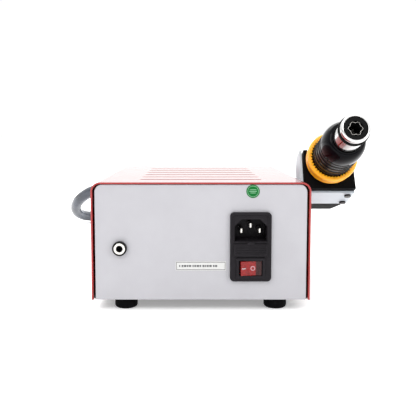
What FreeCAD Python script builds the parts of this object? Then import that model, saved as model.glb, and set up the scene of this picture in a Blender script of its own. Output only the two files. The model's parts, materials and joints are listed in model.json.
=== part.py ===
"""Hot air rework station: steel case, side holder and a handpiece on an air hose.

Frame: millimetres, +Z up, the front panel faces -Y and the rear panel faces +Y. The origin is the
centre of the case's footprint, on the plane that the rubber feet stand on. The holder and the
handpiece are on the -X side, and the air hose leaves the front panel on the +X side.
"""

import FreeCAD
import Part
import math
import os
from types import SimpleNamespace

import Sketcher

DRIVING_SIZES = {
    # steel case
    "case_width": 165.0,
    "case_depth": 200.0,
    "case_height": 89.4,
    "sheet_wall": 1.3,
    "corner_radius": 7.0,
    "panel_wall": 2.0,
    "panel_inset": 1.0,
    "panel_side_gap": 1.5,
    "sheet_gap": 0.4,
    "tray_flange": 14.0,
    "bezel_depth": 12.0,
    "bezel_wall": 2.6,
    "bezel_round": 2.5,
    # cooling slots in the top of the cover
    "vent_length": 96.0,
    "vent_width": 4.0,
    "vent_pitch": 25.0,
    "vent_count": 6.0,
    "vent_shift": 12.0,
    # rubber feet
    "foot_height": 9.0,
    "foot_radius": 8.8,
    "foot_round": 2.2,
    "foot_spread": 116.0,
    "foot_inset": 15.0,
    # screws
    "screw_radius": 1.5,
    "screw_head_radius": 2.9,
    "screw_head_height": 1.8,
    "screw_gap": 0.15,
    # mains inlet with fuse drawer and switch
    "inlet_offset": 37.4,
    "inlet_centre_height": 49.8,
    "inlet_width": 31.0,
    "inlet_height": 52.4,
    "inlet_flange": 2.6,
    "inlet_round": 3.0,
    "inlet_body_width": 27.6,
    "inlet_body_height": 48.4,
    "inlet_body_depth": 24.0,
    "recess_width": 24.2,
    "recess_height": 16.6,
    "recess_depth": 16.5,
    "recess_chamfer": 5.2,
    "recess_centre": 12.7,
    "pin_pitch": 14.0,
    "pin_width": 2.0,
    "pin_height": 4.0,
    "pin_drop": 0.8,
    "pin_earth_rise": 3.2,
    "pin_setback": 3.0,
    "drawer_centre": 2.1,
    "drawer_width": 23.6,
    "drawer_height": 7.6,
    "drawer_depth": 19.0,
    "drawer_face_width": 25.6,
    "drawer_face_height": 9.2,
    "drawer_face": 1.4,
    "fuse_radius": 2.6,
    "fuse_length": 20.0,
    "switch_centre": 15.8,
    "switch_width": 21.8,
    "switch_height": 15.4,
    "switch_flange": 1.6,
    "switch_depth": 16.0,
    "rocker_width": 15.7,
    "rocker_height": 10.6,
    "rocker_depth": 4.2,
    "rocker_tilt": 8.0,
    "slide_gap": 0.35,
    # earth socket
    "earth_offset": 61.0,
    "earth_height": 48.6,
    "earth_collar_radius": 5.5,
    "earth_collar_length": 3.4,
    "earth_neck_radius": 4.3,
    "earth_sleeve_radius": 3.0,
    "earth_bore_radius": 2.05,
    "earth_bore_depth": 14.0,
    # labels on the rear panel
    "label_width": 38.0,
    "label_height": 7.0,
    "label_gap": 2.9,
    "label_centre_height": 35.0,
    "sticker_radius": 5.0,
    "sticker_offset": 39.0,
    "sticker_drop": 6.8,
    "label_thickness": 0.25,
    # front panel controls
    "window_width": 74.0,
    "window_height": 26.0,
    "window_offset": -22.0,
    "window_centre_height": 73.0,
    "key_width": 14.0,
    "key_height": 6.5,
    "key_pitch": 24.0,
    "key_centre_height": 49.0,
    "key_travel": 1.2,
    "key_proud": 1.8,
    "knob_radius": 10.0,
    "knob_length": 12.0,
    "knob_pitch": 48.0,
    "knob_centre_height": 28.5,
    "knob_shaft_radius": 3.0,
    "knob_gap": 0.6,
    "running_gap": 0.05,
    # electronics
    "board_thickness": 1.6,
    "board_width": 74.0,
    "board_depth": 104.0,
    "standoff_height": 8.0,
    "transformer_width": 54.0,
    "transformer_height": 45.0,
    "transformer_stack": 26.0,
    # blower
    "blower_offset": 54.0,
    "blower_axis_height": 46.0,
    "blower_radius": 33.0,
    "blower_width": 30.0,
    "blower_wall": 1.8,
    "impeller_radius": 27.0,
    "impeller_blades": 12.0,
    "outlet_height": 22.0,
    "motor_radius": 15.0,
    "motor_length": 9.0,
    # air hose
    "hose_radius": 7.0,
    "hose_bore": 5.2,
    "gland_offset": 60.0,
    "gland_height": 63.0,
    "gland_length": 24.0,
    "gland_flange_radius": 16.0,
    # holder and handpiece, in their own tilted frame
    "handpiece_pitch": 18.6,
    "cradle_pitch": 24.0,
    "holder_reach": 30.5,
    "collar_y": 25.8,
    "collar_z": 111.8,
    "cradle_half_width": 22.4,
    "cradle_top_half_width": 21.2,
    "cradle_drop": 23.6,
    "cradle_rise": 12.5,
    "cradle_wall": 2.0,
    "cradle_rear": 9.3,
    "cradle_length": 63.0,
    "cradle_wall_length": 25.5,
    "cradle_round": 13.0,
    "strap_width": 32.2,
    "strap_start": 15.5,
    "strap_wall": 2.0,
    "collar_radius": 22.0,
    "collar_back_radius": 20.6,
    "collar_back": 6.5,
    "collar_front": 8.5,
    "sleeve_base_radius": 17.2,
    "sleeve_end_radius": 17.0,
    "sleeve_length": 39.8,
    "shoulder_end": 59.0,
    "tube_radius": 11.0,
    "tube_wall": 1.4,
    "tube_end": 85.0,
    "ring_place": 78.0,
    "ring_section": 0.9,
    "handle_radius": 16.6,
    "handle_waist_radius": 14.8,
    "handle_tail_radius": 12.9,
    "handle_wall": 2.0,
    "handle_length": 118.0,
    "boot_length": 26.0,
    "lobe_count": 6.0,
    "lobe_circle": 4.6,
}

doc = FreeCAD.newDocument("hot_air_station")
sheet = doc.addObject("Spreadsheet::Sheet", "sizes")
for row, (alias, number) in enumerate(DRIVING_SIZES.items(), start=1):
    sheet.set(f"A{row}", alias.replace("_", " "))
    sheet.set(f"B{row}", str(number))
    sheet.setAlias(f"B{row}", alias)
doc.recompute()


class Size:
    """A length or an angle that carries its number and the sheet formula that gives it."""

    def __init__(self, text, number):
        self.text = text
        self.number = number

    def __add__(self, other):
        return Size(f"({self.text} + {text_of(other)})", self.number + number_of(other))

    def __radd__(self, other):
        return self + other

    def __sub__(self, other):
        return Size(f"({self.text} - {text_of(other)})", self.number - number_of(other))

    def __rsub__(self, other):
        return Size(f"({text_of(other)} - {self.text})", number_of(other) - self.number)

    def __mul__(self, other):
        return Size(f"({self.text} * {text_of(other)})", self.number * number_of(other))

    def __rmul__(self, other):
        return self * other

    def __truediv__(self, other):
        return Size(f"({self.text} / {text_of(other)})", self.number / number_of(other))

    def __neg__(self):
        return Size(f"(0 - {self.text})", -self.number)


def text_of(value):
    return value.text if isinstance(value, Size) else repr(value)


def number_of(value):
    return value.number if isinstance(value, Size) else value


size = SimpleNamespace(
    **{alias: Size(f"sizes.{alias}", number) for alias, number in DRIVING_SIZES.items()}
)
SUB_PARTS = []
PLANE_ROLE = {"XY": "XY_Plane", "XZ": "XZ_Plane", "YZ": "YZ_Plane"}
TURN_TO = {
    "+Z": FreeCAD.Rotation(),
    "-Z": FreeCAD.Rotation(FreeCAD.Vector(1, 0, 0), 180),
    "+X": FreeCAD.Rotation(FreeCAD.Vector(0, 1, 0), 90),
    "-X": FreeCAD.Rotation(FreeCAD.Vector(0, 1, 0), -90),
    "+Y": FreeCAD.Rotation(FreeCAD.Vector(1, 0, 0), -90),
    "-Y": FreeCAD.Rotation(FreeCAD.Vector(1, 0, 0), 90),
}


def bind(item, **values):
    """Sets properties, and ties each one that comes from the sheet to its formula."""
    for name, value in values.items():
        if isinstance(value, Size):
            item.setExpression(name, value.text)
        else:
            setattr(item, name, value)
    return item


def put(item, x, y, z, rotation=None):
    """Places an item, each coordinate tied to the sheet where it comes from there."""
    numbers = [number_of(value) for value in (x, y, z)]
    item.Placement = FreeCAD.Placement(FreeCAD.Vector(*numbers), rotation or FreeCAD.Rotation())
    for axis, value in zip("xyz", (x, y, z)):
        if isinstance(value, Size):
            item.setExpression(f".Placement.Base.{axis}", value.text)
    return item


def box(name, low, high):
    """A block from its low corner to its high corner."""
    block = doc.addObject("Part::Box", name)
    length, width, height = (top - bottom for bottom, top in zip(low, high))
    bind(block, Length=length, Width=width, Height=height)
    return put(block, *low)


def cylinder(name, radius, length, base, along="+Z"):
    rod = doc.addObject("Part::Cylinder", name)
    bind(rod, Radius=radius, Height=length)
    return put(rod, *base, rotation=TURN_TO[along])


def prism(name, sides, radius, length, base, along="+Z"):
    bar = doc.addObject("Part::Prism", name)
    bind(bar, Polygon=sides, Circumradius=radius, Height=length)
    return put(bar, *base, rotation=TURN_TO[along])


def fuse(name, *pieces):
    joined = doc.addObject("Part::MultiFuse", name)
    joined.Shapes = list(pieces)
    joined.Refine = True
    return joined


def cut(name, base, *tools):
    made = doc.addObject("Part::Cut", name)
    made.Base = base
    made.Tool = tools[0] if len(tools) == 1 else fuse(f"{name}_tools", *tools)
    return made


def group(name, pieces):
    """Separate solids of one kind that share a node."""
    together = doc.addObject("Part::Compound", name)
    together.Links = list(pieces)
    return together


def sub_part(label, item):
    item.Label = label
    SUB_PARTS.append(item)
    return item


def new_body(name):
    return doc.addObject("PartDesign::Body", name)


def origin_feature(body, role):
    return next(f for f in body.Origin.OriginFeatures if f.Role == role)


def new_sketch(body, name, plane):
    sketch = body.newObject("Sketcher::SketchObject", name)
    sketch.AttachmentSupport = [(origin_feature(body, PLANE_ROLE[plane]), "")]
    sketch.MapMode = "FlatFace"
    return sketch


def pin_coordinate(sketch, edge, end, kind, point):
    """Ties one coordinate of a point of a sketch edge to its place."""
    value = point[0] if kind == "DistanceX" else point[1]
    number = number_of(value)
    if abs(number) < 1e-9:
        axis = -2 if kind == "DistanceX" else -1
        sketch.addConstraint(Sketcher.Constraint("PointOnObject", edge, end, axis))
        return
    index = sketch.addConstraint(Sketcher.Constraint(kind, -1, 1, edge, end, number))
    if isinstance(value, Size):
        sketch.setExpression(f"Constraints[{index}]", value.text)


def pin_point(sketch, edge, end, point):
    for kind in ("DistanceX", "DistanceY"):
        pin_coordinate(sketch, edge, end, kind, point)


def outline(sketch, corners):
    """Closes an outline. A corner is (x, y), or (x, y, centre, turn) where an arc leaves it."""
    first = sketch.GeometryCount
    ends = []
    for index, corner in enumerate(corners):
        start = FreeCAD.Vector(number_of(corner[0]), number_of(corner[1]), 0)
        following = corners[(index + 1) % len(corners)]
        stop = FreeCAD.Vector(number_of(following[0]), number_of(following[1]), 0)
        if len(corner) == 2:
            sketch.addGeometry(Part.LineSegment(start, stop), False)
            ends.append((1, 2))
            continue
        centre = FreeCAD.Vector(number_of(corner[2][0]), number_of(corner[2][1]), 0)
        low, high = (start, stop) if corner[3] == "ccw" else (stop, start)
        circle = Part.Circle(centre, FreeCAD.Vector(0, 0, 1), (low - centre).Length)
        angles = [math.atan2(p.y - centre.y, p.x - centre.x) for p in (low, high)]
        sketch.addGeometry(Part.ArcOfCircle(circle, *angles), False)
        ends.append((1, 2) if corner[3] == "ccw" else (2, 1))
    count = len(corners)
    for index, corner in enumerate(corners):
        edge = first + index
        following = first + (index + 1) % count
        joint = Sketcher.Constraint(
            "Coincident", edge, ends[index][1], following, ends[(index + 1) % count][0]
        )
        sketch.addConstraint(joint)
        pin_point(sketch, edge, ends[index][0], corner[:2])
        if len(corner) > 2:
            across, up = (
                abs(number_of(a) - number_of(b)) for a, b in zip(corner[:2], corners[(index + 1) % count])
            )
            pin_coordinate(sketch, edge, 3, "DistanceX" if up >= across else "DistanceY", corner[2])


def circle(sketch, x, y, radius):
    centre = FreeCAD.Vector(number_of(x), number_of(y), 0)
    edge = sketch.addGeometry(Part.Circle(centre, FreeCAD.Vector(0, 0, 1), number_of(radius)), False)
    pin_point(sketch, edge, 3, (x, y))
    index = sketch.addConstraint(Sketcher.Constraint("Radius", edge, number_of(radius)))
    if isinstance(radius, Size):
        sketch.setExpression(f"Constraints[{index}]", radius.text)


def rectangle(x0, y0, x1, y1):
    return [(x0, y0), (x1, y0), (x1, y1), (x0, y1)]


def rounded_rectangle(x0, y0, x1, y1, low_round, high_round):
    """Corners of a rectangle with one radius for its lower corners and one for its upper ones."""
    return [
        (x0 + low_round, y0),
        (x1 - low_round, y0, (x1 - low_round, y0 + low_round), "ccw"),
        (x1, y0 + low_round),
        (x1, y1 - high_round, (x1 - high_round, y1 - high_round), "ccw"),
        (x1 - high_round, y1),
        (x0 + high_round, y1, (x0 + high_round, y1 - high_round), "ccw"),
        (x0, y1 - high_round),
        (x0, y0 + low_round, (x0 + low_round, y0 + low_round), "ccw"),
    ]


def pad(body, name, sketch, length, **more):
    solid = body.newObject("PartDesign::Pad", name)
    solid.Profile = sketch
    bind(solid, Length=length, **more)
    return solid


def pocket_through(body, name, sketch):
    """Cuts a sketch's shape through everything, both ways from its plane."""
    hole = body.newObject("PartDesign::Pocket", name)
    hole.Profile = sketch
    hole.Type = "ThroughAll"
    hole.Midplane = True
    return hole


def turned(name, corners, plane="XZ", angle=360.0, reverse=False):
    """A piece turned about its own Z axis from an outline of radius and height."""
    body = new_body(name)
    sketch = new_sketch(body, f"{name}_profile", plane)
    outline(sketch, corners)
    spin = body.newObject("PartDesign::Revolution", f"{name}_turn")
    spin.Profile = sketch
    spin.ReferenceAxis = (sketch, ["V_Axis"])
    spin.Angle = angle
    spin.Reversed = reverse
    return body


def round_edges(body, name, radius, wanted):
    """Rounds the tip's edges that the test picks, each given as its bounding box."""
    doc.recompute()
    tip = body.Tip
    chosen = [f"Edge{i}" for i, edge in enumerate(tip.Shape.Edges, 1) if wanted(edge.BoundBox)]
    rounding = body.newObject("PartDesign::Fillet", name)
    rounding.Base = (tip, chosen)
    return bind(rounding, Radius=radius)


def repeat_round(body, name, feature, count):
    ring = body.newObject("PartDesign::PolarPattern", name)
    ring.Originals = [feature]
    ring.Axis = (origin_feature(body, "Z_Axis"), [""])
    ring.Angle = 360
    bind(ring, Occurrences=count)
    body.Tip = ring
    return ring


def stand(item, y):
    """Moves a piece that was drawn about Y = 0 to its place along the case."""
    return put(item, 0, y, 0)


# Places that several pieces share.
half_width = size.case_width / 2
rear = size.case_depth / 2
front = -rear
floor = size.foot_height
top = floor + size.case_height
tray_top = floor + size.sheet_wall
inside = half_width - size.sheet_wall
panel_face = rear - size.panel_inset
panel_back = panel_face - size.panel_wall
bezel_back = front + size.bezel_depth
cover_length = size.case_depth - size.bezel_depth
cover_middle = size.bezel_depth / 2
foot_x = size.foot_spread / 2
foot_y = rear - size.foot_inset
screw_hole = size.screw_radius + size.screw_gap
cover_screw_height = floor + 8
cover_screw_places = (rear - 25, front + 40)


def make_cover():
    body = new_body("cover_body")
    section = new_sketch(body, "cover_section", "XZ")
    bend = top - size.corner_radius
    bend_x = half_width - size.corner_radius
    outline(section, [
        (-half_width, floor),
        (-half_width, bend, (-bend_x, bend), "cw"),
        (-bend_x, top),
        (bend_x, top, (bend_x, bend), "cw"),
        (half_width, bend),
        (half_width, floor),
        (inside, floor),
        (inside, bend, (bend_x, bend), "ccw"),
        (bend_x, top - size.sheet_wall),
        (-bend_x, top - size.sheet_wall, (-bend_x, bend), "ccw"),
        (-inside, bend),
        (-inside, floor),
    ])
    pad(body, "cover_sheet", section, cover_length, Midplane=True)
    slot = new_sketch(body, "vent_slot", "XY")
    radius = size.vent_width / 2
    reach = size.vent_length / 2 - radius
    first_row = size.vent_shift - cover_middle - size.vent_pitch * (size.vent_count - 1) / 2
    outline(slot, [
        (-reach, first_row - radius),
        (reach, first_row - radius, (reach, first_row), "ccw"),
        (reach, first_row + radius),
        (-reach, first_row + radius, (-reach, first_row), "ccw"),
    ])
    cut_slot = pocket_through(body, "vent_cut", slot)
    rows = body.newObject("PartDesign::LinearPattern", "vent_rows")
    rows.Originals = [cut_slot]
    rows.Direction = (origin_feature(body, "Y_Axis"), [""])
    bind(rows, Length=size.vent_pitch * (size.vent_count - 1), Occurrences=size.vent_count)
    body.Tip = rows
    holes = new_sketch(body, "side_holes", "YZ")
    for place in cover_screw_places:
        circle(holes, place - cover_middle, cover_screw_height, screw_hole)
    body.Tip = pocket_through(body, "side_hole_cut", holes)
    sub_part("cover", stand(body, cover_middle))


def make_base_tray():
    body = new_body("tray_body")
    outer = inside - size.sheet_gap
    inner = outer - size.sheet_wall
    rim = floor + size.tray_flange
    section = new_sketch(body, "tray_section", "XZ")
    outline(section, [
        (-outer, floor),
        (outer, floor),
        (outer, rim),
        (inner, rim),
        (inner, tray_top),
        (-inner, tray_top),
        (-inner, rim),
        (-outer, rim),
    ])
    length = panel_back - bezel_back - 2 * size.sheet_gap
    middle = (panel_back + bezel_back) / 2
    pad(body, "tray_sheet", section, length, Midplane=True)
    holes = new_sketch(body, "tray_foot_holes", "XY")
    for x in (-foot_x, foot_x):
        for y in (-foot_y, foot_y):
            circle(holes, x, y - middle, screw_hole)
    pocket_through(body, "tray_foot_hole_cut", holes)
    sides = new_sketch(body, "tray_side_holes", "YZ")
    for place in cover_screw_places:
        circle(sides, place - middle, cover_screw_height, screw_hole)
    body.Tip = pocket_through(body, "tray_side_hole_cut", sides)
    sub_part("base_tray", stand(body, middle))


def arch(x0, z0, x1, z1, radius):
    """A rectangle with its two upper corners rounded."""
    return [
        (x0, z0),
        (x1, z0),
        (x1, z1 - radius, (x1 - radius, z1 - radius), "ccw"),
        (x1 - radius, z1),
        (x0 + radius, z1, (x0 + radius, z1 - radius), "ccw"),
        (x0, z1 - radius),
    ]


inlet_x = -size.inlet_offset
inlet_z = size.inlet_centre_height
inlet_face = panel_face + size.inlet_flange
recess_z = inlet_z + size.recess_centre
drawer_z = inlet_z - size.drawer_centre
switch_z = inlet_z - size.switch_centre


def make_rear_panel():
    body = new_body("rear_panel_body")
    plate = new_sketch(body, "rear_panel_outline", "XZ")
    edge = inside - size.panel_side_gap
    crown = top - size.sheet_wall - size.sheet_gap
    outline(plate, arch(-edge, floor, edge, crown, size.corner_radius - size.sheet_wall))
    pad(body, "rear_panel_plate", plate, size.panel_wall, Midplane=True)
    openings = new_sketch(body, "rear_panel_openings", "XZ")
    wide = size.inlet_body_width / 2 + size.screw_gap
    tall = size.inlet_body_height / 2 + size.screw_gap
    outline(openings, rectangle(inlet_x - wide, inlet_z - tall, inlet_x + wide, inlet_z + tall))
    circle(openings, size.earth_offset, size.earth_height, size.earth_neck_radius + size.screw_gap)
    body.Tip = pocket_through(body, "rear_panel_cut", openings)
    sub_part("rear_panel", stand(body, (panel_face + panel_back) / 2))


window_x = size.window_offset
window_z = size.window_centre_height
knob_z = size.knob_centre_height
knob_places = {
    "temperature": window_x - size.knob_pitch / 2,
    "airflow": window_x + size.knob_pitch / 2,
}
key_places = [window_x + size.key_pitch * step for step in (-1, 0, 1)]


def make_front_bezel():
    body = new_body("bezel_body")
    face = new_sketch(body, "bezel_outline", "XZ")
    outline(face, arch(-half_width, floor, half_width, top, size.corner_radius))
    pad(body, "bezel_block", face, size.bezel_depth, Midplane=True)
    face_y = -number_of(size.bezel_depth) / 2
    round_edges(body, "bezel_rounding", size.bezel_round, lambda b: b.YMax < face_y + 0.01)
    stand(body, front + size.bezel_depth / 2)
    wall = size.bezel_wall
    hollow = box(
        "bezel_hollow",
        (-half_width + wall, front + wall, floor + wall),
        (half_width - wall, bezel_back + 1, top - wall),
    )
    through = front - 1
    beyond = front + wall + 1
    gap = size.slide_gap
    tools = [hollow]
    window_half = size.window_width / 2
    tools.append(box(
        "window_opening",
        (window_x - window_half, through, window_z - size.window_height / 2),
        (window_x + window_half, beyond, window_z + size.window_height / 2),
    ))
    key_x = size.key_width / 2 + gap
    key_z = size.key_height / 2 + gap
    for place in key_places:
        tools.append(box(
            "key_opening",
            (place - key_x, through, size.key_centre_height - key_z),
            (place + key_x, beyond, size.key_centre_height + key_z),
        ))
    depth = wall + 2
    for place in knob_places.values():
        tools.append(
            cylinder("shaft_hole", size.knob_shaft_radius + 1, depth, (place, through, knob_z), "+Y")
        )
    neck = size.hose_radius + 2.2
    tools.append(cylinder(
        "gland_hole", neck, depth, (size.gland_offset, through, size.gland_height), "+Y"
    ))
    sub_part("front_bezel", cut("bezel", body, *tools))


def screw(name, place, along, shank_length):
    """A pan-head screw whose head stands on its place and whose shank goes along the way given."""
    steps = {
        "+Z": (0, 0, 1), "-Z": (0, 0, -1), "+X": (1, 0, 0), "-X": (-1, 0, 0),
        "+Y": (0, 1, 0), "-Y": (0, -1, 0)
    }
    way = steps[along]
    back = [p - w * size.screw_head_height if w else p for p, w in zip(place, way)]
    head = cylinder(f"{name}_head", size.screw_head_radius, size.screw_head_height, back, along)
    shank = cylinder(f"{name}_shank", size.screw_radius, shank_length, place, along)
    return fuse(name, head, shank)


def make_case_screws():
    screws = []
    for place in cover_screw_places:
        screws.append(screw("cover_screw", (half_width, place, cover_screw_height), "-X", 7.0))
        screws.append(screw("cover_screw", (-half_width, place, cover_screw_height), "+X", 7.0))
    sub_part("cover_screws", group("cover_screw_set", screws))


def make_feet():
    recess_radius = size.screw_head_radius + 0.8
    seat = size.foot_height / 2
    radius = size.foot_radius
    for depth_name, y in (("rear", foot_y), ("front", -foot_y)):
        for side_name, x in (("left", foot_x), ("right", -foot_x)):
            name = f"foot_{depth_name}_{side_name}"
            foot = turned(f"{name}_body", [
                (screw_hole, seat),
                (recess_radius, seat),
                (recess_radius, 0),
                (radius - size.foot_round, 0, (radius - size.foot_round, size.foot_round), "ccw"),
                (radius, size.foot_round),
                (radius, size.foot_height),
                (screw_hole, size.foot_height),
            ])
            sub_part(name, put(foot, x, y, 0))
    screws = [
        screw("foot_screw", (x, y, seat), "+Z", size.foot_height / 2 + size.sheet_wall + 4)
        for x in (-foot_x, foot_x)
        for y in (-foot_y, foot_y)
    ]
    sub_part("foot_screws", group("foot_screw_set", screws))


def recess_corners(half, low, high, chamfer):
    return [
        (inlet_x - half, low),
        (inlet_x + half, low),
        (inlet_x + half, high - chamfer),
        (inlet_x + half - chamfer, high),
        (inlet_x - half + chamfer, high),
        (inlet_x - half, high - chamfer),
    ]


def slab(name, plane_y, depth, corners):
    """A flat piece with its outline in the XZ plane, reaching back from a plane of constant Y."""
    body = new_body(f"{name}_body")
    sketch = new_sketch(body, f"{name}_outline", "XZ")
    outline(sketch, corners)
    pad(body, f"{name}_pad", sketch, depth, Midplane=True)
    return stand(body, plane_y - depth / 2)


def centred_box(name, centre, y_low, y_high, width, height):
    """A block about a centre in X and Z."""
    x, z = centre
    return box(name, (x - width / 2, y_low, z - height / 2), (x + width / 2, y_high, z + height / 2))


pin_places = {
    "line": (inlet_x - size.pin_pitch / 2, recess_z - size.pin_drop),
    "neutral": (inlet_x + size.pin_pitch / 2, recess_z - size.pin_drop),
    "earth": (inlet_x, recess_z + size.pin_earth_rise),
}
inlet_back = panel_face - size.inlet_body_depth
drawer_back = inlet_face - size.drawer_depth
switch_face = inlet_face + size.switch_flange
rocker_axis_y = inlet_face
rocker_room_width = size.rocker_width + 1.7
rocker_room_height = size.rocker_height + 2 * size.slide_gap
rocker_room_back = rocker_axis_y - size.rocker_depth - 2.4
switch_body_width = size.switch_width - 2.2
switch_body_height = size.switch_height - 2.2
switch_back = inlet_face - size.switch_depth
pin_back = inlet_back - 7


def make_inlet():
    half = size.inlet_width / 2
    tall = size.inlet_height / 2
    flange = slab("inlet_flange", inlet_face, size.inlet_flange, rounded_rectangle(
        inlet_x - half, inlet_z - tall, inlet_x + half, inlet_z + tall, size.inlet_round, size.inlet_round
    ))
    block = centred_box(
        "inlet_block", (inlet_x, inlet_z), inlet_back, panel_face, size.inlet_body_width,
        size.inlet_body_height
    )
    recess = slab("inlet_recess", inlet_face + 1, size.recess_depth + 1, recess_corners(
        size.recess_width / 2, recess_z - size.recess_height / 2, recess_z + size.recess_height / 2,
        size.recess_chamfer,
    ))
    gap = size.slide_gap
    tools = [recess]
    tools.append(centred_box(
        "drawer_room", (inlet_x, drawer_z), drawer_back - 1, inlet_face + 1,
        size.drawer_width + 2 * gap, size.drawer_height + 2 * gap,
    ))
    tools.append(centred_box(
        "switch_room", (inlet_x, switch_z), switch_back - 0.2, inlet_face + 1,
        switch_body_width + 0.3, switch_body_height + 0.3,
    ))
    for name, centre in pin_places.items():
        tools.append(centred_box(
            f"{name}_pin_slot", centre, inlet_back - 1, inlet_face, size.pin_width + 0.1,
            size.pin_height + 0.1
        ))
    sub_part("inlet_housing", cut("inlet", fuse("inlet_moulding", flange, block), *tools))
    pin_front = inlet_face - size.pin_setback
    pins = [
        centred_box(f"{name}_pin", centre, pin_back, pin_front, size.pin_width, size.pin_height)
        for name, centre in pin_places.items()
    ]
    sub_part("inlet_pins", group("inlet_pin_set", pins))


def make_switch():
    frame = centred_box(
        "switch_rim", (inlet_x, switch_z), inlet_face, switch_face, size.switch_width, size.switch_height
    )
    block = centred_box(
        "switch_block", (inlet_x, switch_z), switch_back, inlet_face, switch_body_width, switch_body_height
    )
    room = centred_box(
        "rocker_room", (inlet_x, switch_z), rocker_room_back, switch_face + 1, rocker_room_width,
        rocker_room_height,
    )
    pivot_radius = size.screw_radius * 0.8
    pivot_length = size.rocker_height + 2 * size.slide_gap + 1.4
    bearing = cylinder(
        "rocker_bearing", pivot_radius + size.running_gap, pivot_length + 0.2,
        (inlet_x, rocker_axis_y, switch_z - pivot_length / 2 - 0.1),
    )
    sub_part("rocker_frame", cut("switch_housing", fuse("switch_moulding", frame, block), room, bearing))
    body = new_body("rocker_body")
    sketch = new_sketch(body, "rocker_section", "XY")
    half = size.rocker_width / 2
    outline(sketch, [
        (-half, 2.3),
        (-half, -1.4),
        (-half + 3.6, -size.rocker_depth),
        (half - 3.6, -size.rocker_depth),
        (half, -1.4),
        (half, 2.3),
        (0, 1.3),
    ])
    pad(body, "rocker_block", sketch, size.rocker_height, Midplane=True)
    pivot = new_sketch(body, "rocker_pivot", "XY")
    circle(pivot, 0, 0, pivot_radius)
    body.Tip = pad(body, "rocker_trunnions", pivot, pivot_length, Midplane=True)
    turn = FreeCAD.Rotation(FreeCAD.Vector(0, 0, 1), number_of(size.rocker_tilt))
    put(body, inlet_x, rocker_axis_y, switch_z, turn)
    body.setExpression(".Placement.Rotation.Angle", size.rocker_tilt.text)
    sub_part("power_rocker", body)


def make_fuse_drawer():
    face_gap = 0.3
    face = centred_box(
        "drawer_face", (inlet_x, drawer_z), inlet_face + face_gap, inlet_face + face_gap + size.drawer_face,
        size.drawer_face_width, size.drawer_face_height,
    )
    tab_z = drawer_z + size.drawer_face_height / 2
    tab = centred_box(
        "drawer_tab", (inlet_x, tab_z + 0.6), inlet_face + face_gap, inlet_face + face_gap + size.drawer_face,
        5.5, 1.8,
    )
    tray = centred_box(
        "drawer_tray", (inlet_x, drawer_z), drawer_back, inlet_face + face_gap, size.drawer_width,
        size.drawer_height,
    )
    fuse_rows = (inlet_face - 5.2, inlet_face - 12.6)
    fuse_room = size.fuse_radius + 0.2
    rooms = [
        box(
            "fuse_room",
            (inlet_x - size.fuse_length / 2 - 0.3, y - fuse_room, drawer_z - fuse_room),
            (inlet_x + size.fuse_length / 2 + 0.3, y + fuse_room, drawer_z + size.drawer_height),
        )
        for y in fuse_rows
    ]
    sub_part("fuse_drawer", cut("drawer", fuse("drawer_moulding", face, tab, tray), *rooms))
    fuses = [
        cylinder(
            "fuse", size.fuse_radius, size.fuse_length, (inlet_x - size.fuse_length / 2, y, drawer_z), "+X"
        )
        for y in fuse_rows
    ]
    sub_part("fuses", group("fuse_set", fuses))


def make_earth_socket():
    x = size.earth_offset
    z = size.earth_height
    flange = cylinder(
        "earth_flange", size.earth_collar_radius, size.earth_collar_length, (x, panel_face, z), "+Y"
    )
    neck_length = size.panel_wall + 8
    neck = cylinder("earth_neck", size.earth_neck_radius, neck_length, (x, panel_face - neck_length, z), "+Y")
    sleeve_gap = size.earth_sleeve_radius + size.running_gap
    rim_radius = size.earth_neck_radius
    collar_face = panel_face + size.earth_collar_length
    channel = cylinder(
        "earth_channel", sleeve_gap, neck_length + 8, (x, panel_face - neck_length - 1, z), "+Y"
    )
    seat = cylinder("earth_seat", rim_radius, 1.0, (x, collar_face - 0.8, z), "+Y")
    collar = cut("earth_insulator", fuse("earth_moulding", flange, neck), channel, seat)
    sub_part("earth_socket_collar", collar)
    sleeve_back = collar_face - size.earth_bore_depth - 4
    barrel = cylinder(
        "earth_barrel", size.earth_sleeve_radius, size.earth_bore_depth + 4, (x, sleeve_back, z), "+Y"
    )
    rim = cylinder("earth_rim", rim_radius - 0.05, 1.0, (x, collar_face - 0.75, z), "+Y")
    bore = cylinder(
        "earth_bore", size.earth_bore_radius, size.earth_bore_depth + 1,
        (x, collar_face - size.earth_bore_depth + 0.25, z), "+Y",
    )
    sub_part("earth_socket_sleeve", cut("earth_contact", fuse("earth_metal", barrel, rim), bore))
    nut_depth = 3.0
    nut_back = panel_back - nut_depth - 0.05
    nut = prism("earth_nut", 6, 7.0, nut_depth, (x, nut_back, z), "+Y")
    nut_hole = cylinder(
        "earth_nut_hole", size.earth_neck_radius + size.running_gap, nut_depth + 2, (x, nut_back - 1, z), "+Y"
    )
    sub_part("earth_socket_nut", cut("earth_locknut", nut, nut_hole))


def make_labels():
    label_y = panel_face
    label_top = panel_face + size.label_thickness
    label_x = inlet_x + size.inlet_width / 2 + size.label_gap + size.label_width / 2
    label = centred_box(
        "label_foil", (label_x, size.label_centre_height), label_y, label_top, size.label_width,
        size.label_height
    )
    sub_part("rating_label", label)
    sticker = cylinder(
        "sticker_foil", size.sticker_radius, size.label_thickness,
        (-size.sticker_offset, panel_face, top - size.sticker_drop), "+Y",
    )
    sub_part("inspection_sticker", sticker)


board_low = tray_top + size.standoff_height
board_top = board_low + size.board_thickness
board_right = -inside + 6
board_left = board_right + size.board_width
board_front = bezel_back + 24
board_rear = board_front + size.board_depth


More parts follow.
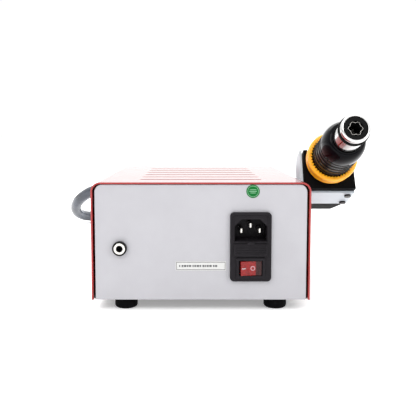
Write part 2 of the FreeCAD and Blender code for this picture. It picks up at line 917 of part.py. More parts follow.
def make_main_board():
    holes = []
    posts = []
    inset = 4.0
    for x in (board_right + inset, board_left - inset):
        for y in (board_front + inset, board_rear - inset):
            holes.append(cylinder("board_hole", screw_hole, size.board_thickness + 2, (x, y, board_low - 1)))
            posts.append(fuse(
                "standoff",
                prism("standoff_post", 6, 3.2, size.standoff_height, (x, y, tray_top)),
                cylinder("standoff_stud", size.screw_radius, size.board_thickness + 3, (x, y, board_low)),
            ))
    plate = box("board_plate", (board_right, board_front, board_low), (board_left, board_rear, board_top))
    sub_part("main_board", cut("board", plate, *holes))
    sub_part("board_standoffs", group("standoff_set", posts))
    fins = []
    sink_x = board_right + 14
    sink_y = board_front + 30
    fin_count = 6
    base = box("sink_base", (sink_x, sink_y, board_top), (sink_x + 30, sink_y + 20, board_top + 4))
    for step in range(fin_count):
        x = sink_x + step * 5.6
        fins.append(box("sink_fin", (x, sink_y, board_top + 3), (x + 2, sink_y + 20, board_top + 26)))
    sub_part("triac_heatsink", fuse("heatsink", base, *fins))
    cans = [
        cylinder("capacitor", radius, height, (board_right + dx, board_front + dy, board_top))
        for radius, height, dx, dy in ((8, 22, 58, 16), (8, 22, 58, 36), (5, 14, 18, 14), (5, 14, 34, 14))
    ]
    relay = box(
        "relay", (board_right + 44, board_front + 62, board_top),
        (board_right + 62, board_front + 80, board_top + 15)
    )
    sub_part("board_components", group("component_set", [*cans, relay]))


def make_transformer():
    x = size.blower_offset / 2
    y = rear - 46
    half = size.transformer_width / 2
    stack = size.transformer_stack / 2
    crown = tray_top + size.transformer_height
    leg = size.transformer_width / 6
    core = box("core_block", (x - half, y - stack, tray_top), (x + half, y + stack, crown))
    windows = [
        box(
            "core_window",
            (start, y - stack - 1, tray_top + leg),
            (start + leg, y + stack + 1, crown - leg),
        )
        for start in (x - half + leg, x + half - 2 * leg)
    ]
    sub_part("transformer_core", cut("core", core, *windows))
    coil = box(
        "coil_block",
        (x - half + leg + 0.4, y - stack - leg, tray_top + leg + 0.4),
        (x + half - leg - 0.4, y + stack + leg, crown - leg - 0.4),
    )
    middle_leg = box(
        "coil_core_room",
        (x - half + 2 * leg - 0.3, y - stack - 0.3, tray_top),
        (x + half - 2 * leg + 0.3, y + stack + 0.3, crown),
    )
    sub_part("transformer_winding", cut("coil", coil, middle_leg))


blower_x = size.blower_offset
blower_z = size.blower_axis_height
blower_y = front + 78
blower_right = blower_x - size.blower_width / 2
blower_left = blower_x + size.blower_width / 2
outlet_low = size.gland_height - size.outlet_height / 2
outlet_high = size.gland_height + size.outlet_height / 2
outlet_end = blower_y - size.blower_radius - 8


def make_blower():
    wall = size.blower_wall
    drum = cylinder(
        "scroll_drum", size.blower_radius, size.blower_width, (blower_right, blower_y, blower_z), "+X"
    )
    spout = box(
        "scroll_spout", (blower_right, outlet_end, outlet_low - wall),
        (blower_left, blower_y, outlet_high + wall)
    )
    room = cylinder(
        "scroll_room", size.blower_radius - wall, size.blower_width - 2 * wall,
        (blower_right + wall, blower_y, blower_z), "+X",
    )
    channel = box(
        "spout_room", (blower_right + wall, outlet_end - 1, outlet_low),
        (blower_left - wall, blower_y, outlet_high)
    )
    intake = cylinder("scroll_intake", 15.0, wall + 2, (blower_right - 1, blower_y, blower_z), "+X")
    bearing = cylinder("scroll_bearing", 5.0, wall + 2, (blower_left - wall - 1, blower_y, blower_z), "+X")
    shell = cut("scroll", fuse("scroll_moulding", drum, spout), room, channel, intake, bearing)
    foot = box(
        "scroll_foot", (blower_right, blower_y - 14, tray_top),
        (blower_left, blower_y + 14, blower_z - size.blower_radius + 4)
    )
    sub_part("blower_housing", fuse("blower_case", shell, cut("scroll_stand", foot, cylinder(
        "scroll_stand_room", size.blower_radius - wall, size.blower_width,
        (blower_right, blower_y, blower_z), "+X"
    ))))
    wheel_width = size.blower_width - 2 * wall - 3
    body = new_body("impeller_body")
    disc = new_sketch(body, "impeller_disc", "XY")
    circle(disc, 0, 0, size.impeller_radius)
    pad(body, "impeller_plate", disc, 1.6)
    blade = new_sketch(body, "impeller_blade", "XY")
    inner = size.impeller_radius * 0.55
    outline(blade, [
        (inner, -3.0), (size.impeller_radius - 0.6, 0), (size.impeller_radius - 0.6, 1.4), (inner, -1.6)
    ])
    vane = pad(body, "impeller_vane", blade, wheel_width)
    repeat_round(body, "impeller_vanes", vane, size.impeller_blades)
    shaft = new_sketch(body, "impeller_shaft_outline", "XY")
    circle(shaft, 0, 0, 4.0)
    body.Tip = pad(body, "impeller_hub", shaft, 10.0)
    back = cylinder("impeller_shaft", size.knob_shaft_radius / 2, wall + 8, (0, 0, -(wall + 7)))
    wheel = fuse("impeller", body, back)
    sub_part("blower_impeller", put(wheel, blower_left - wall - 1.5, blower_y, blower_z, TURN_TO["-X"]))
    can = cylinder(
        "motor_can", size.motor_radius, size.motor_length, (blower_left + 0.1, blower_y, blower_z), "+X"
    )
    shaft_room = cylinder(
        "motor_shaft_room", size.knob_shaft_radius / 2 + size.running_gap, size.motor_length + 2,
        (blower_left - 1, blower_y, blower_z), "+X",
    )
    sub_part("blower_motor", cut("motor", can, shaft_room))
    duct_radius = size.hose_radius + 1.5
    socket = box(
        "duct_socket",
        (blower_right - 1.5, outlet_end - 3, outlet_low - wall - 1.5),
        (blower_left + 1.5, outlet_end + 6, outlet_high + wall + 1.5),
    )
    socket_room = box(
        "duct_socket_room",
        (blower_right - 0.1, outlet_end - 0.1, outlet_low - wall - 0.1),
        (blower_left + 0.1, outlet_end + 7, outlet_high + wall + 0.1),
    )
    pipe_end = front + size.bezel_wall + 6
    pipe_place = (size.gland_offset, pipe_end, size.gland_height)
    pipe_length = outlet_end - 2 - pipe_end
    pipe = cylinder("duct_pipe", duct_radius, pipe_length, pipe_place, "+Y")
    pipe_room = cylinder(
        "duct_pipe_room", size.hose_bore, pipe_length + 4,
        (size.gland_offset, pipe_end - 1, size.gland_height), "+Y"
    )
    sub_part("air_duct", cut("duct", fuse("duct_moulding", socket, pipe), socket_room, pipe_room))


def make_front_controls():
    window = centred_box(
        "window_pane", (window_x, window_z), front + 0.6, front + 2.4, size.window_width - 0.4,
        size.window_height - 0.4,
    )
    sub_part("display_window", window)
    led_front = front + size.bezel_wall + 0.4
    display_y = bezel_back - size.board_thickness - 0.4
    board = box(
        "control_board", (window_x - 50, display_y, floor + 8),
        (window_x + 50, display_y + size.board_thickness, top - 6)
    )
    sub_part("control_board", board)
    digits = centred_box(
        "digit_block", (window_x, window_z), led_front, display_y, size.window_width - 8,
        size.window_height - 6
    )
    sub_part("led_display", digits)
    encoders = []
    for name, place in knob_places.items():
        encoders.append(fuse(
            f"{name}_encoder",
            centred_box(f"{name}_encoder_block", (place, knob_z), led_front, display_y, 12.0, 12.0),
            cylinder(f"{name}_shaft", size.knob_shaft_radius, 12.0, (place, led_front - 12, knob_z), "+Y"),
        ))
        make_knob(name, place)
    sub_part("encoders", group("encoder_set", encoders))
    stem_front = front + 4.4 + size.key_travel
    switches = [
        centred_box("key_switch", (place, size.key_centre_height), stem_front, display_y, 6.0, 6.0)
        for place in key_places
    ]
    sub_part("key_switches", group("key_switch_set", switches))
    for number, place in enumerate(key_places, start=1):
        make_key(number, place)


def make_knob(name, place):
    radius = size.knob_radius
    length = size.knob_length
    body = turned(f"{name}_knob_body", [
        (size.knob_shaft_radius + size.running_gap, 0),
        (radius, 0),
        (radius, length - 1.5),
        (radius - 1.5, length),
        (0, length),
        (0, length - 2.5),
        (size.knob_shaft_radius + size.running_gap, length - 2.5),
    ])
    flute = new_sketch(body, f"{name}_flute_outline", "XY")
    circle(flute, radius + 0.5, 0, 1.1)
    groove = pocket_through(body, f"{name}_flute", flute)
    repeat_round(body, f"{name}_flutes", groove, 18)
    put(body, place, front - size.knob_gap, knob_z, TURN_TO["-Y"])
    sub_part(f"{name}_knob", body)


def make_key(number, place):
    body = new_body(f"key_{number}_body")
    cap = new_sketch(body, f"key_{number}_outline", "XZ")
    half = size.key_width / 2
    tall = size.key_height / 2
    outline(cap, rounded_rectangle(-half, -tall, half, tall, 1.2, 1.2))
    cap_depth = size.key_proud + 4.0
    pad(body, f"key_{number}_cap", cap, cap_depth, Midplane=True)
    face_y = -number_of(cap_depth) / 2
    round_edges(body, f"key_{number}_rounding", 0.7, lambda b: b.YMax < face_y + 0.01)
    put(body, place, front - size.key_proud + cap_depth / 2, size.key_centre_height)
    sub_part(f"preset_key_{number}", body)


def make_hose_gland():
    radius = size.gland_flange_radius
    bore = size.hose_bore
    tip = size.hose_radius + 2.0
    rib_count = 4
    rib_pitch = (size.gland_length - 8) / rib_count
    corners = [
        (bore, -8), (size.hose_radius + 2, -8), (size.hose_radius + 2, 0), (radius, 0),
        (radius, 3), (radius - 4, 5)
    ]
    for rib in range(rib_count):
        low = 6 + rib * rib_pitch
        outer = tip + (rib_count - rib) * 0.7
        corners += [(outer - 0.9, low), (outer, low + 0.8), (outer - 0.1, low + rib_pitch - 1.4)]
    corners += [(tip, size.gland_length), (bore, size.gland_length)]
    gland = turned("gland_body", corners)
    sub_part("hose_gland", put(gland, size.gland_offset, front, size.gland_height, TURN_TO["-Y"]))


axis_x = -(half_width + size.holder_reach)


def tilt(item, pitch=size.handpiece_pitch):
    """Sets a piece in a tilted frame at the collar: X across, Y down, Z to the nozzle."""
    turn = 90 - pitch
    lean = FreeCAD.Rotation(FreeCAD.Vector(-1, 0, 0), turn.number)
    put(item, axis_x, size.collar_y, size.collar_z, lean)
    item.setExpression(".Placement.Rotation.Angle", turn.text)
    return item


def tilt_with_cradle(item):
    return tilt(item, size.cradle_pitch)


def lift(sketch, height):
    """Raises a sketch from its origin plane."""
    sketch.AttachmentOffset = FreeCAD.Placement(FreeCAD.Vector(0, 0, number_of(height)), FreeCAD.Rotation())
    sketch.setExpression(".AttachmentOffset.Base.z", height.text)


cradle_front = -(size.cradle_rear + size.cradle_length)
wall_front = -(size.cradle_rear + size.cradle_wall_length)
cradle_crown = -size.cradle_rise
cradle_floor = size.cradle_drop - size.cradle_wall
strap_rear = -size.strap_start
strap_front = strap_rear - size.strap_width
strap_low = size.cradle_drop + size.strap_wall
cradle_screw_x = size.cradle_half_width - 4.8
cradle_screw_places = [strap_rear - 6, strap_front + 6]
notch_radius = size.handle_radius + 1.2


def make_cradle():
    body = new_body("cradle_body")
    section = new_sketch(body, "cradle_section", "XY")
    lift(section, cradle_front)
    wide = size.cradle_half_width
    narrow = size.cradle_top_half_width
    wall = size.cradle_wall
    outline(section, [
        (-wide, size.cradle_drop),
        (wide, size.cradle_drop),
        (narrow, cradle_crown),
        (narrow - wall, cradle_crown),
        (wide - wall, cradle_floor),
        (-wide + wall, cradle_floor),
        (-narrow + wall, cradle_crown),
        (-narrow, cradle_crown),
    ])
    pad(body, "cradle_channel", section, size.cradle_length)
    end = new_sketch(body, "cradle_end_outline", "XY")
    lift(end, -size.cradle_rear - wall)
    outline(end, [
        (-wide, size.cradle_drop),
        (wide, size.cradle_drop),
        (narrow, cradle_crown),
        (notch_radius, cradle_crown),
        (notch_radius, 0, (0, 0), "ccw"),
        (-notch_radius, 0),
        (-notch_radius, cradle_crown),
        (-narrow, cradle_crown),
    ])
    pad(body, "cradle_end_plate", end, wall)
    rise = size.cradle_round
    side = new_sketch(body, "cradle_side_outline", "YZ")
    outline(side, [
        (cradle_crown - 8, cradle_front - 8),
        (cradle_floor, cradle_front - 8),
        (cradle_floor, wall_front),
        (cradle_crown + rise, wall_front, (cradle_crown + rise, wall_front + rise), "cw"),
        (cradle_crown, wall_front + rise),
        (cradle_crown - 8, wall_front + rise),
    ])
    pocket_through(body, "cradle_side_cut", side)
    corners = new_sketch(body, "cradle_floor_corners", "XZ")
    across = 9.0
    along = 19.0
    for side_sign in (-1, 1):
        outline(corners, [
            (side_sign * (wide - across), cradle_front),
            (side_sign * wide, cradle_front + along),
            (side_sign * (wide + 4), cradle_front - 4),
        ])
    pocket_through(body, "cradle_corner_cut", corners)
    holes = new_sketch(body, "cradle_screw_holes", "XZ")
    for x in (-cradle_screw_x, cradle_screw_x):
        for z in cradle_screw_places:
            circle(holes, x, z, screw_hole)
    body.Tip = pocket_through(body, "cradle_screw_cut", holes)
    sub_part("holder_cradle", tilt_with_cradle(body))


ear_near = size.cradle_half_width + 0.2
ear_far = ear_near + size.strap_wall


def make_bracket():
    body = new_body("bracket_body")
    ear = new_sketch(body, "bracket_ear_outline", "YZ")
    lift(ear, ear_near)
    rise = size.cradle_round
    outline(ear, [
        (strap_low, -size.cradle_rear - 2),
        (strap_low, wall_front),
        (cradle_crown + rise, wall_front, (cradle_crown + rise, wall_front + rise), "cw"),
        (cradle_crown, wall_front + rise),
        (cradle_crown, -size.cradle_rear - 2),
    ])
    pad(body, "bracket_ear", ear, size.strap_wall)
    strap = new_sketch(body, "bracket_strap_outline", "XY")
    lift(strap, strap_front)
    outline(strap, rectangle(-size.cradle_half_width, size.cradle_drop + 0.05, ear_near + 1, strap_low))
    pad(body, "bracket_strap", strap, size.strap_width)
    holes = new_sketch(body, "bracket_screw_holes", "XZ")
    for x in (-cradle_screw_x, cradle_screw_x):
        for z in cradle_screw_places:
            circle(holes, x, z, screw_hole)
    body.Tip = pocket_through(body, "bracket_screw_cut", holes)
    sub_part("holder_bracket", tilt_with_cradle(body))
    post_length = size.holder_reach - ear_far - 0.1
    posts = [
        cylinder("bracket_post", 5.0, post_length, (ear_far + 0.05, size.cradle_drop - 5, z), "+X")
        for z in (strap_rear - 2, wall_front + 6)
    ]
    sub_part("bracket_posts", tilt_with_cradle(group("bracket_post_set", posts)))


def make_cradle_fittings():
    screws = []
    for x in (-cradle_screw_x, cradle_screw_x):
        for z in cradle_screw_places:
            stem = screw(
                "cradle_screw", (x, strap_low + 0.05, z), "-Y", size.strap_wall + size.cradle_wall + 2.6
            )
            nut = prism("cradle_nut", 6, 2.6, 1.8, (x, cradle_floor - 1.85, z), "+Y")
            screws.append(fuse("cradle_fastener", stem, nut))
    sub_part("cradle_screws", tilt_with_cradle(group("cradle_screw_set", screws)))
    pads = []
    rest_radius = size.handle_radius + 0.4
    for start in (-size.cradle_rear - 12, cradle_front + 6):
        block = box("cradle_pad_block", (-13, 8, start), (13, cradle_floor - 0.05, start + 9))
        hollow = cylinder("cradle_pad_hollow", rest_radius, 20, (0, 0, start - 5))
        pads.append(cut(
            "cradle_pad",
            tilt_with_cradle(group("cradle_pad_blank", [block])),
            tilt(group("cradle_pad_hollow_set", [hollow])),
        ))
    sub_part("cradle_pads", group("cradle_pad_set", pads))
    sensor = box(
        "sensor_block", (-7, cradle_floor - 3, wall_front - 16), (7, cradle_floor - 0.05, wall_front - 6)
    )
    sub_part("dock_sensor", tilt_with_cradle(group("sensor_set", [sensor])))


def make_collar():
    radius = size.collar_radius
    inner = size.handle_radius + 0.3
    recess = size.sleeve_base_radius + 0.3
    back = -size.collar_back
    back_radius = size.collar_back_radius
    collar = turned("collar_body", [
        (inner, back),
        (back_radius - 1.2, back),
        (back_radius, back + 1.2),
        (radius, size.collar_front - 1.2),
        (radius - 0.8, size.collar_front),
        (recess, size.collar_front),
        (recess, 1.0),
        (inner, 1.0),
    ])
    sub_part("locking_collar", tilt(collar))


def make_ribbed_sleeve():
    base = size.sleeve_base_radius
    end = size.sleeve_end_radius
    low = 1.2
    high = low + size.sleeve_length
    rib_count = 5
    rib_start = size.collar_front + 3.5
    rib_pitch = (high - rib_start - 1) / rib_count
    step = (base - end) / rib_count
    inner = end - 2.6
    corners = [(inner, low), (base, low), (base, rib_start)]
    for rib in range(rib_count):
        outer = base - step * rib
        z = rib_start + rib_pitch * rib
        corners += [
            (outer - 0.8, z + 0.3), (outer - 0.8, z + 1.2), (outer - step, z + 1.5),
            (outer - step, z + rib_pitch)
        ]
    corners += [(end, high), (inner, high)]
    sub_part("ribbed_sleeve", tilt(turned("ribbed_sleeve_body", corners)))
    tip = size.tube_radius + 0.9
    start = high + 0.1
    drop = end - tip
    reach = size.shoulder_end - start - 4
    arc_radius = (drop * drop + reach * reach) / (2 * drop)
    shoulder = turned("shoulder_body", [
        (inner, start),
        (end, start),
        (end, start + 4, (end - arc_radius, start + 4), "ccw"),
        (tip, size.shoulder_end),
        (size.tube_radius + 0.1, size.shoulder_end),
        (size.tube_radius + 0.1, size.shoulder_end - 6),
        (inner, start + 4),
    ])
    sub_part("handle_shoulder", tilt(shoulder))


def lobes(name, core_radius, lobe_radius, low, high):
    """A rod with rounded lobes round it."""
    pieces = [cylinder(f"{name}_middle", core_radius, high - low, (0, 0, low))]
    lobe_circle = size.lobe_circle
    for step in range(int(number_of(size.lobe_count))):
        angle = math.radians(360 / number_of(size.lobe_count) * step)
        place = (lobe_circle * math.cos(angle), lobe_circle * math.sin(angle), low)
        pieces.append(cylinder(f"{name}_lobe", lobe_radius, high - low, place))
    return fuse(name, *pieces)


def make_heater():
    radius = size.tube_radius
    bore = radius - size.tube_wall
    low = size.shoulder_end - 33
    groove = size.ring_place
    half = size.ring_section + 0.05
    tube = turned("tube_body", [
        (bore, low),
        (radius, low),
        (radius, groove - half),
        (radius - 0.9, groove - half),
        (radius - 0.9, groove + half),
        (radius, groove + half),
        (radius, size.tube_end),
        (bore, size.tube_end),
    ])
    sub_part("heater_tube", tilt(tube))
    ring = doc.addObject("Part::Torus", "seal_ring")
    bind(ring, Radius1=radius + 0.02, Radius2=size.ring_section)
    put(ring, 0, 0, groove)
    sub_part("tube_ring", tilt(group("seal_ring_set", [ring])))
    sheath_end = size.tube_end - 4
    sheath = cut(
        "lobed_sheath",
        lobes("sheath_outside", 5.1, 2.3, low + 6, sheath_end),
        lobes("sheath_inside", 4.6, 1.8, low + 5, sheath_end + 1),
    )
    sub_part("heater_sheath", tilt(sheath))
    sub_part("heater_core", tilt(lobes("ceramic_core", 3.4, 1.3, low + 8, size.tube_end - 16)))


def make_handle():
    wall = size.handle_wall
    outer = size.handle_radius
    waist = size.handle_waist_radius
    tail = size.handle_tail_radius
    neck = -size.handle_length * 0.52
    hip = -size.handle_length * 0.75
    end = -size.handle_length
    profile = [
        (outer - wall, 0.8),
        (outer, 0.8),
        (outer, neck),
        (waist, hip),
        (tail, end),
        (tail - wall, end),
        (waist - wall, hip),
        (outer - wall, neck),
    ]
    right = turned("handle_right_body", profile, "YZ", 180.0)
    left = turned("handle_left_body", profile, "YZ", 180.0, reverse=True)
    sub_part("handle_shell_left", tilt(left))
    head = size.screw_head_radius - 0.4
    screw_places = ((neck / 2, outer), (end + 12, tail))
    heads = []
    wells = []
    for z, surface in screw_places:
        heads.append(cylinder("handle_screw", head, 3.2, (-surface + 0.5, 0, z), "+X"))
        wells.append(cylinder("handle_screw_well", head + 0.1, surface, (-surface - 3, 0, z), "+X"))
    sub_part("handle_shell_right", tilt(cut("handle_right", right, *wells)))
    sub_part("handle_screws", tilt(group("handle_screw_set", heads)))
    rib_count = 5
    boot_tip = end - size.boot_length
    rib_pitch = (size.boot_length - 4) / rib_count
    bore = size.hose_radius + 0.2
    corners = [(bore, end - 0.1), (tail - 0.6, end - 0.1), (tail - 0.8, end - 3)]
    for rib in range(rib_count):
        z = end - 3 - rib * rib_pitch
        ring_radius = tail - 1.0 - rib * 0.7
        corners += [(ring_radius - 0.9, z - 0.4), (ring_radius - 0.9, z - 1.4), (ring_radius, z - 1.8)]
    corners += [(bore + 1.2, boot_tip), (bore, boot_tip)]
    sub_part("hose_boot", tilt(turned("hose_boot_body", corners)))


def make_housings():
    make_base_tray()
    make_cover()
    make_rear_panel()
    make_front_bezel()
    make_case_screws()
    make_feet()


def make_rear_fittings():
    make_inlet()
    make_switch()
    make_fuse_drawer()
    make_earth_socket()
    make_labels()


def make_insides():
    make_main_board()
    make_transformer()
    make_blower()


def make_holder():
    make_cradle()
    make_bracket()
    make_cradle_fittings()


def make_handpiece():
    make_collar()
    make_ribbed_sleeve()
    make_heater()
    make_handle()


# The hose runs from the gland, out to the left, down to the bench and round to the handle's boot.
HOSE_ROUTE = [
    (60, -124, 63),
    (60, -164, 63),
    (83.5, -206.6, 64.5),
    (132.6, -231.5, 61.3),
    (162.6, -257.7, 41.9),
    (173.8, -298.2, 28.5),
    (160.5, -338.6, 7.3),
    (119.7, -383, 7.3),
    (63.9, -406.5, 7.3),
    (8, -430, 7.3),
    (-54, -420, 7.3),
    (-97, -384, 7.3),
    (-118, -334, 7.3),
    (-116.2, -272.1, 22.7),
    (-114.4, -210.3, 38.1),
    (-113, -148.6, 53.13),
    (-113, -110.73, 65.87),
]
ARC_SHARE = 0.45


def rounded_path(points):
    """Straight runs joined by tangent arcs, each as large as its two runs allow."""
    corners = [FreeCAD.Vector(*point) for point in points]
    edges = []
    radii = []
    start = corners[0]
    for before, corner, after in zip(corners, corners[1:], corners[2:]):
        back = (before - corner).normalize()
        ahead = (after - corner).normalize()
        half_turn = (math.pi - back.getAngle(ahead)) / 2
        shorter = min((before - corner).Length, (after - corner).Length)
        trim = ARC_SHARE * shorter
        radius = trim / math.tan(half_turn)
        first = corner + back * trim
        last = corner + ahead * trim
        middle = corner + (back + ahead).normalize() * (radius / math.cos(half_turn) - radius)
        edges.append(Part.LineSegment(start, first).toShape())
        edges.append(Part.Arc(first, middle, last).toShape())
        radii.append(radius)
        start = last
    edges.append(Part.LineSegment(start, corners[-1]).toShape())
    return Part.Wire(edges), radii


def make_hose():
    radius = number_of(size.hose_radius)
    path, radii = rounded_path(HOSE_ROUTE)
    start = FreeCAD.Vector(*HOSE_ROUTE[0])
    way = FreeCAD.Vector(*HOSE_ROUTE[1]) - start
    section = Part.Wire([Part.Circle(start, way, radius).toShape()])
    tube = path.makePipeShell([section], True, False)
    hose = doc.addObject("Part::Feature", "hose_tube")
    hose.Shape = tube
    sub_part("air_hose", hose)
    share = tube.Volume / (math.pi * radius ** 2 * path.Length)
    print(f"hose: {path.Length:.0f} mm long, volume {share:.3f} of section times length")
    print("hose radii, mm:", " ".join(f"{value:.0f}" for value in radii))


def write_parts():
    doc.recompute()
    failed = [o.Name for o in doc.Objects if {"Invalid", "Error"} & set(o.State)]
    for item in SUB_PARTS:
        if item.Shape.isNull() or not item.Shape.isValid() or not item.Shape.Solids:
            failed.append(item.Label)
    if failed:
        raise RuntimeError(f"these objects failed: {sorted(set(failed))}")
    os.makedirs("parts", exist_ok=True)
    for item in SUB_PARTS:
        item.Shape.exportStep(f"parts/{item.Label}.step")
    print(len(SUB_PARTS), "sub-parts written")


make_housings()
make_rear_fittings()
make_insides()
make_front_controls()
make_hose_gland()
make_holder()
make_handpiece()
make_hose()
write_parts()
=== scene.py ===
"""Looks of the hot air station: materials, fine detail and the air hose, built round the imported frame."""

import json
import math

import bmesh
import bpy
from mathutils import Matrix, Vector

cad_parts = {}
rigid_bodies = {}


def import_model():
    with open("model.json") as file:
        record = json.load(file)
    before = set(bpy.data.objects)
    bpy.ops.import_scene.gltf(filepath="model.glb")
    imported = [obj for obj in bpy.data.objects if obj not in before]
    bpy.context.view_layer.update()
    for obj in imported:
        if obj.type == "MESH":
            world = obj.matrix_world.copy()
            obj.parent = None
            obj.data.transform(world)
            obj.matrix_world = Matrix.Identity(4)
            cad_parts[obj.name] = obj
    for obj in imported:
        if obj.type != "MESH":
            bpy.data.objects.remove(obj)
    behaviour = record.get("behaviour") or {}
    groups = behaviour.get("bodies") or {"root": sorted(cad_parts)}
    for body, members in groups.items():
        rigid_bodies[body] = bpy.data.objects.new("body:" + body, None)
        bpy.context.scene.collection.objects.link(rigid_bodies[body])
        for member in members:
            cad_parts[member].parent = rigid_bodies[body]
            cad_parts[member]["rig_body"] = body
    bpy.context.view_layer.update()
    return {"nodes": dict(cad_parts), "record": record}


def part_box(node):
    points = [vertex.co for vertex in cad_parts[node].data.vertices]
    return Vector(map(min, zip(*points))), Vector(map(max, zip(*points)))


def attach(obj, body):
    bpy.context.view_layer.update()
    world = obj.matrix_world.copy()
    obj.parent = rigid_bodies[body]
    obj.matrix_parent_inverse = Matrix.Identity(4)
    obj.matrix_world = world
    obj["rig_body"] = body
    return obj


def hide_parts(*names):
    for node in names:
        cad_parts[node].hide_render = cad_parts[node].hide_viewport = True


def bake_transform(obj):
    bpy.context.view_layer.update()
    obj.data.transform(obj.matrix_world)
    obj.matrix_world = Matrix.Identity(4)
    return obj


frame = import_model()
record = frame["record"]
nodes = frame["nodes"]
MM = 0.001


# ---------------------------------------------------------------- camera

SENSOR_WIDTH = 36
FOCAL_LENGTH = 51.8
LENS_SHIFT = (0.030, -0.0728)
CAMERA_PLACE = (0.004, 0.544, 0.1384)
CAMERA_DOWN = math.radians(4.7)


def make_camera():
    """The view from behind, a little above the case, with the lens level enough to keep uprights upright."""
    data = bpy.data.cameras.new("view")
    data.sensor_width = SENSOR_WIDTH
    data.lens = FOCAL_LENGTH
    data.shift_x, data.shift_y = LENS_SHIFT
    camera = bpy.data.objects.new("view", data)
    bpy.context.scene.collection.objects.link(camera)
    camera.location = CAMERA_PLACE
    camera.rotation_euler = (math.radians(90) - CAMERA_DOWN, 0, math.radians(180))
    bpy.context.scene.camera = camera


make_camera()


# ---------------------------------------------------------------- mesh helpers

EDGE_ANGLE = 34
EDGE_SEGMENTS = 2
CORNER_STEPS = 3
STRAIGHT_ON = math.radians(170)


def link(obj):
    bpy.context.scene.collection.objects.link(obj)
    return obj


def mesh_object(name, verts, faces, smooth=40):
    """A mesh whose edges stay sharp where its faces turn by more than smooth degrees."""
    mesh = bpy.data.meshes.new(name)
    mesh.from_pydata([tuple(v) for v in verts], [], faces)
    mesh.validate()
    mesh.update()
    obj = link(bpy.data.objects.new(name, mesh))
    shade(obj, smooth)
    return obj


def shade(obj, smooth):
    obj.data.shade_smooth()
    obj.data.set_sharp_from_angle(angle=math.radians(smooth))


def face_outward(obj):
    """Turns every face of a closed mesh to look outward."""
    built = bmesh.new()
    built.from_mesh(obj.data)
    bmesh.ops.recalc_face_normals(built, faces=built.faces)
    built.to_mesh(obj.data)
    built.free()
    return obj


def join(name, objects):
    """One mesh object out of several, in their places."""
    built = bmesh.new()
    materials = []
    for obj in objects:
        start = len(built.faces)
        piece = obj.data.copy()
        piece.transform(obj.matrix_world)
        built.from_mesh(piece)
        bpy.data.meshes.remove(piece)
        built.faces.ensure_lookup_table()
        for material in obj.data.materials:
            if material not in materials:
                materials.append(material)
        for face in built.faces[start:]:
            if obj.data.materials:
                face.material_index = materials.index(obj.data.materials[face.material_index])
    mesh = bpy.data.meshes.new(name)
    built.to_mesh(mesh)
    built.free()
    for material in materials:
        mesh.materials.append(material)
    for obj in objects:
        bpy.data.objects.remove(obj)
    return link(bpy.data.objects.new(name, mesh))


def apply_modifiers(obj):
    """Keeps the shape that an object's modifiers make, and drops the modifiers."""
    graph = bpy.context.evaluated_depsgraph_get()
    mesh = bpy.data.meshes.new_from_object(obj.evaluated_get(graph))
    old = obj.data
    obj.modifiers.clear()
    obj.data = mesh
    bpy.data.meshes.remove(old)
    return obj


def soften(obj, width):
    """Rounds an object's edges a little, as moulding and sheet work do."""
    bevel = obj.modifiers.new("edges", "BEVEL")
    bevel.width = width
    bevel.segments = EDGE_SEGMENTS
    bevel.limit_method = "ANGLE"
    bevel.angle_limit = math.radians(EDGE_ANGLE)
    bevel.use_clamp_overlap = True
    return apply_modifiers(obj)


def even_normals(obj):
    """Lets the large faces set the shading, so that flat sheet looks flat beside its rounded edges."""
    weigh = obj.modifiers.new("normals", "WEIGHTED_NORMAL")
    weigh.mode = "FACE_AREA"
    weigh.weight = 90
    weigh.keep_sharp = True
    return apply_modifiers(obj)


def refined(node, width, material):
    """A copy of a CAD node with softened edges, which stands for it."""
    mesh = nodes[node].data.copy()
    mesh.name = f"{node}_shell"
    built = bmesh.new()
    built.from_mesh(mesh)
    bmesh.ops.remove_doubles(built, verts=built.verts, dist=1e-6)
    bmesh.ops.dissolve_limit(
        built, angle_limit=math.radians(1.0), verts=built.verts, edges=built.edges
    )
    built.to_mesh(mesh)
    built.free()
    obj = link(bpy.data.objects.new(f"{node}_shell", mesh))
    soften(obj, width)
    shade(obj, EDGE_ANGLE)
    even_normals(obj)
    return add(nodes[node]["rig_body"], obj, material, node)


def paint_with(obj, material):
    obj.data.materials.clear()
    obj.data.materials.append(material)


def add(body, obj, material, *replaced):
    """Paints a piece, rides it on its body, and lets it stand for the CAD nodes named."""
    paint_with(obj, material)
    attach(obj, body)
    if replaced:
        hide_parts(*replaced)
    return obj


def rounded_corners(outline, radius):
    """A closed outline of (radius, height) points with its corners rounded."""
    out = []
    count = len(outline)
    for index in range(count):
        before = Vector(outline[index - 1])
        corner = Vector(outline[index])
        after = Vector(outline[(index + 1) % count])
        back = before - corner
        ahead = after - corner
        reach = min(radius, back.length * 0.45, ahead.length * 0.45)
        if back.length < 1e-9 or ahead.length < 1e-9 or back.angle(ahead) > STRAIGHT_ON:
            out.append(corner)
            continue
        first = corner + back.normalized() * reach
        last = corner + ahead.normalized() * reach
        for step in range(CORNER_STEPS + 1):
            t = step / CORNER_STEPS
            out.append(first.lerp(corner, t).lerp(corner.lerp(last, t), t))
    return out


def lathe(name, outline, matrix, turns, corner, smooth=50, wave=None):
    """A turned piece: a closed outline of (radius, height) in metres, swept round the matrix's Z axis.

    A wave adds to the radius, by radius, height and angle.
    """
    profile = rounded_corners(outline, corner)
    verts = []
    for turn in range(turns):
        angle = 2 * math.pi * turn / turns
        for radius, height in profile:
            if wave:
                radius = radius + wave(radius, height, angle)
            verts.append(matrix @ Vector((radius * math.cos(angle), radius * math.sin(angle), height)))
    size = len(profile)
    faces = []
    for turn in range(turns):
        following = (turn + 1) % turns
        for point in range(size):
            ahead = (point + 1) % size
            faces.append((
                turn * size + point, following * size + point, following * size + ahead, turn * size + ahead
            ))
    return mesh_object(name, verts, faces, smooth)


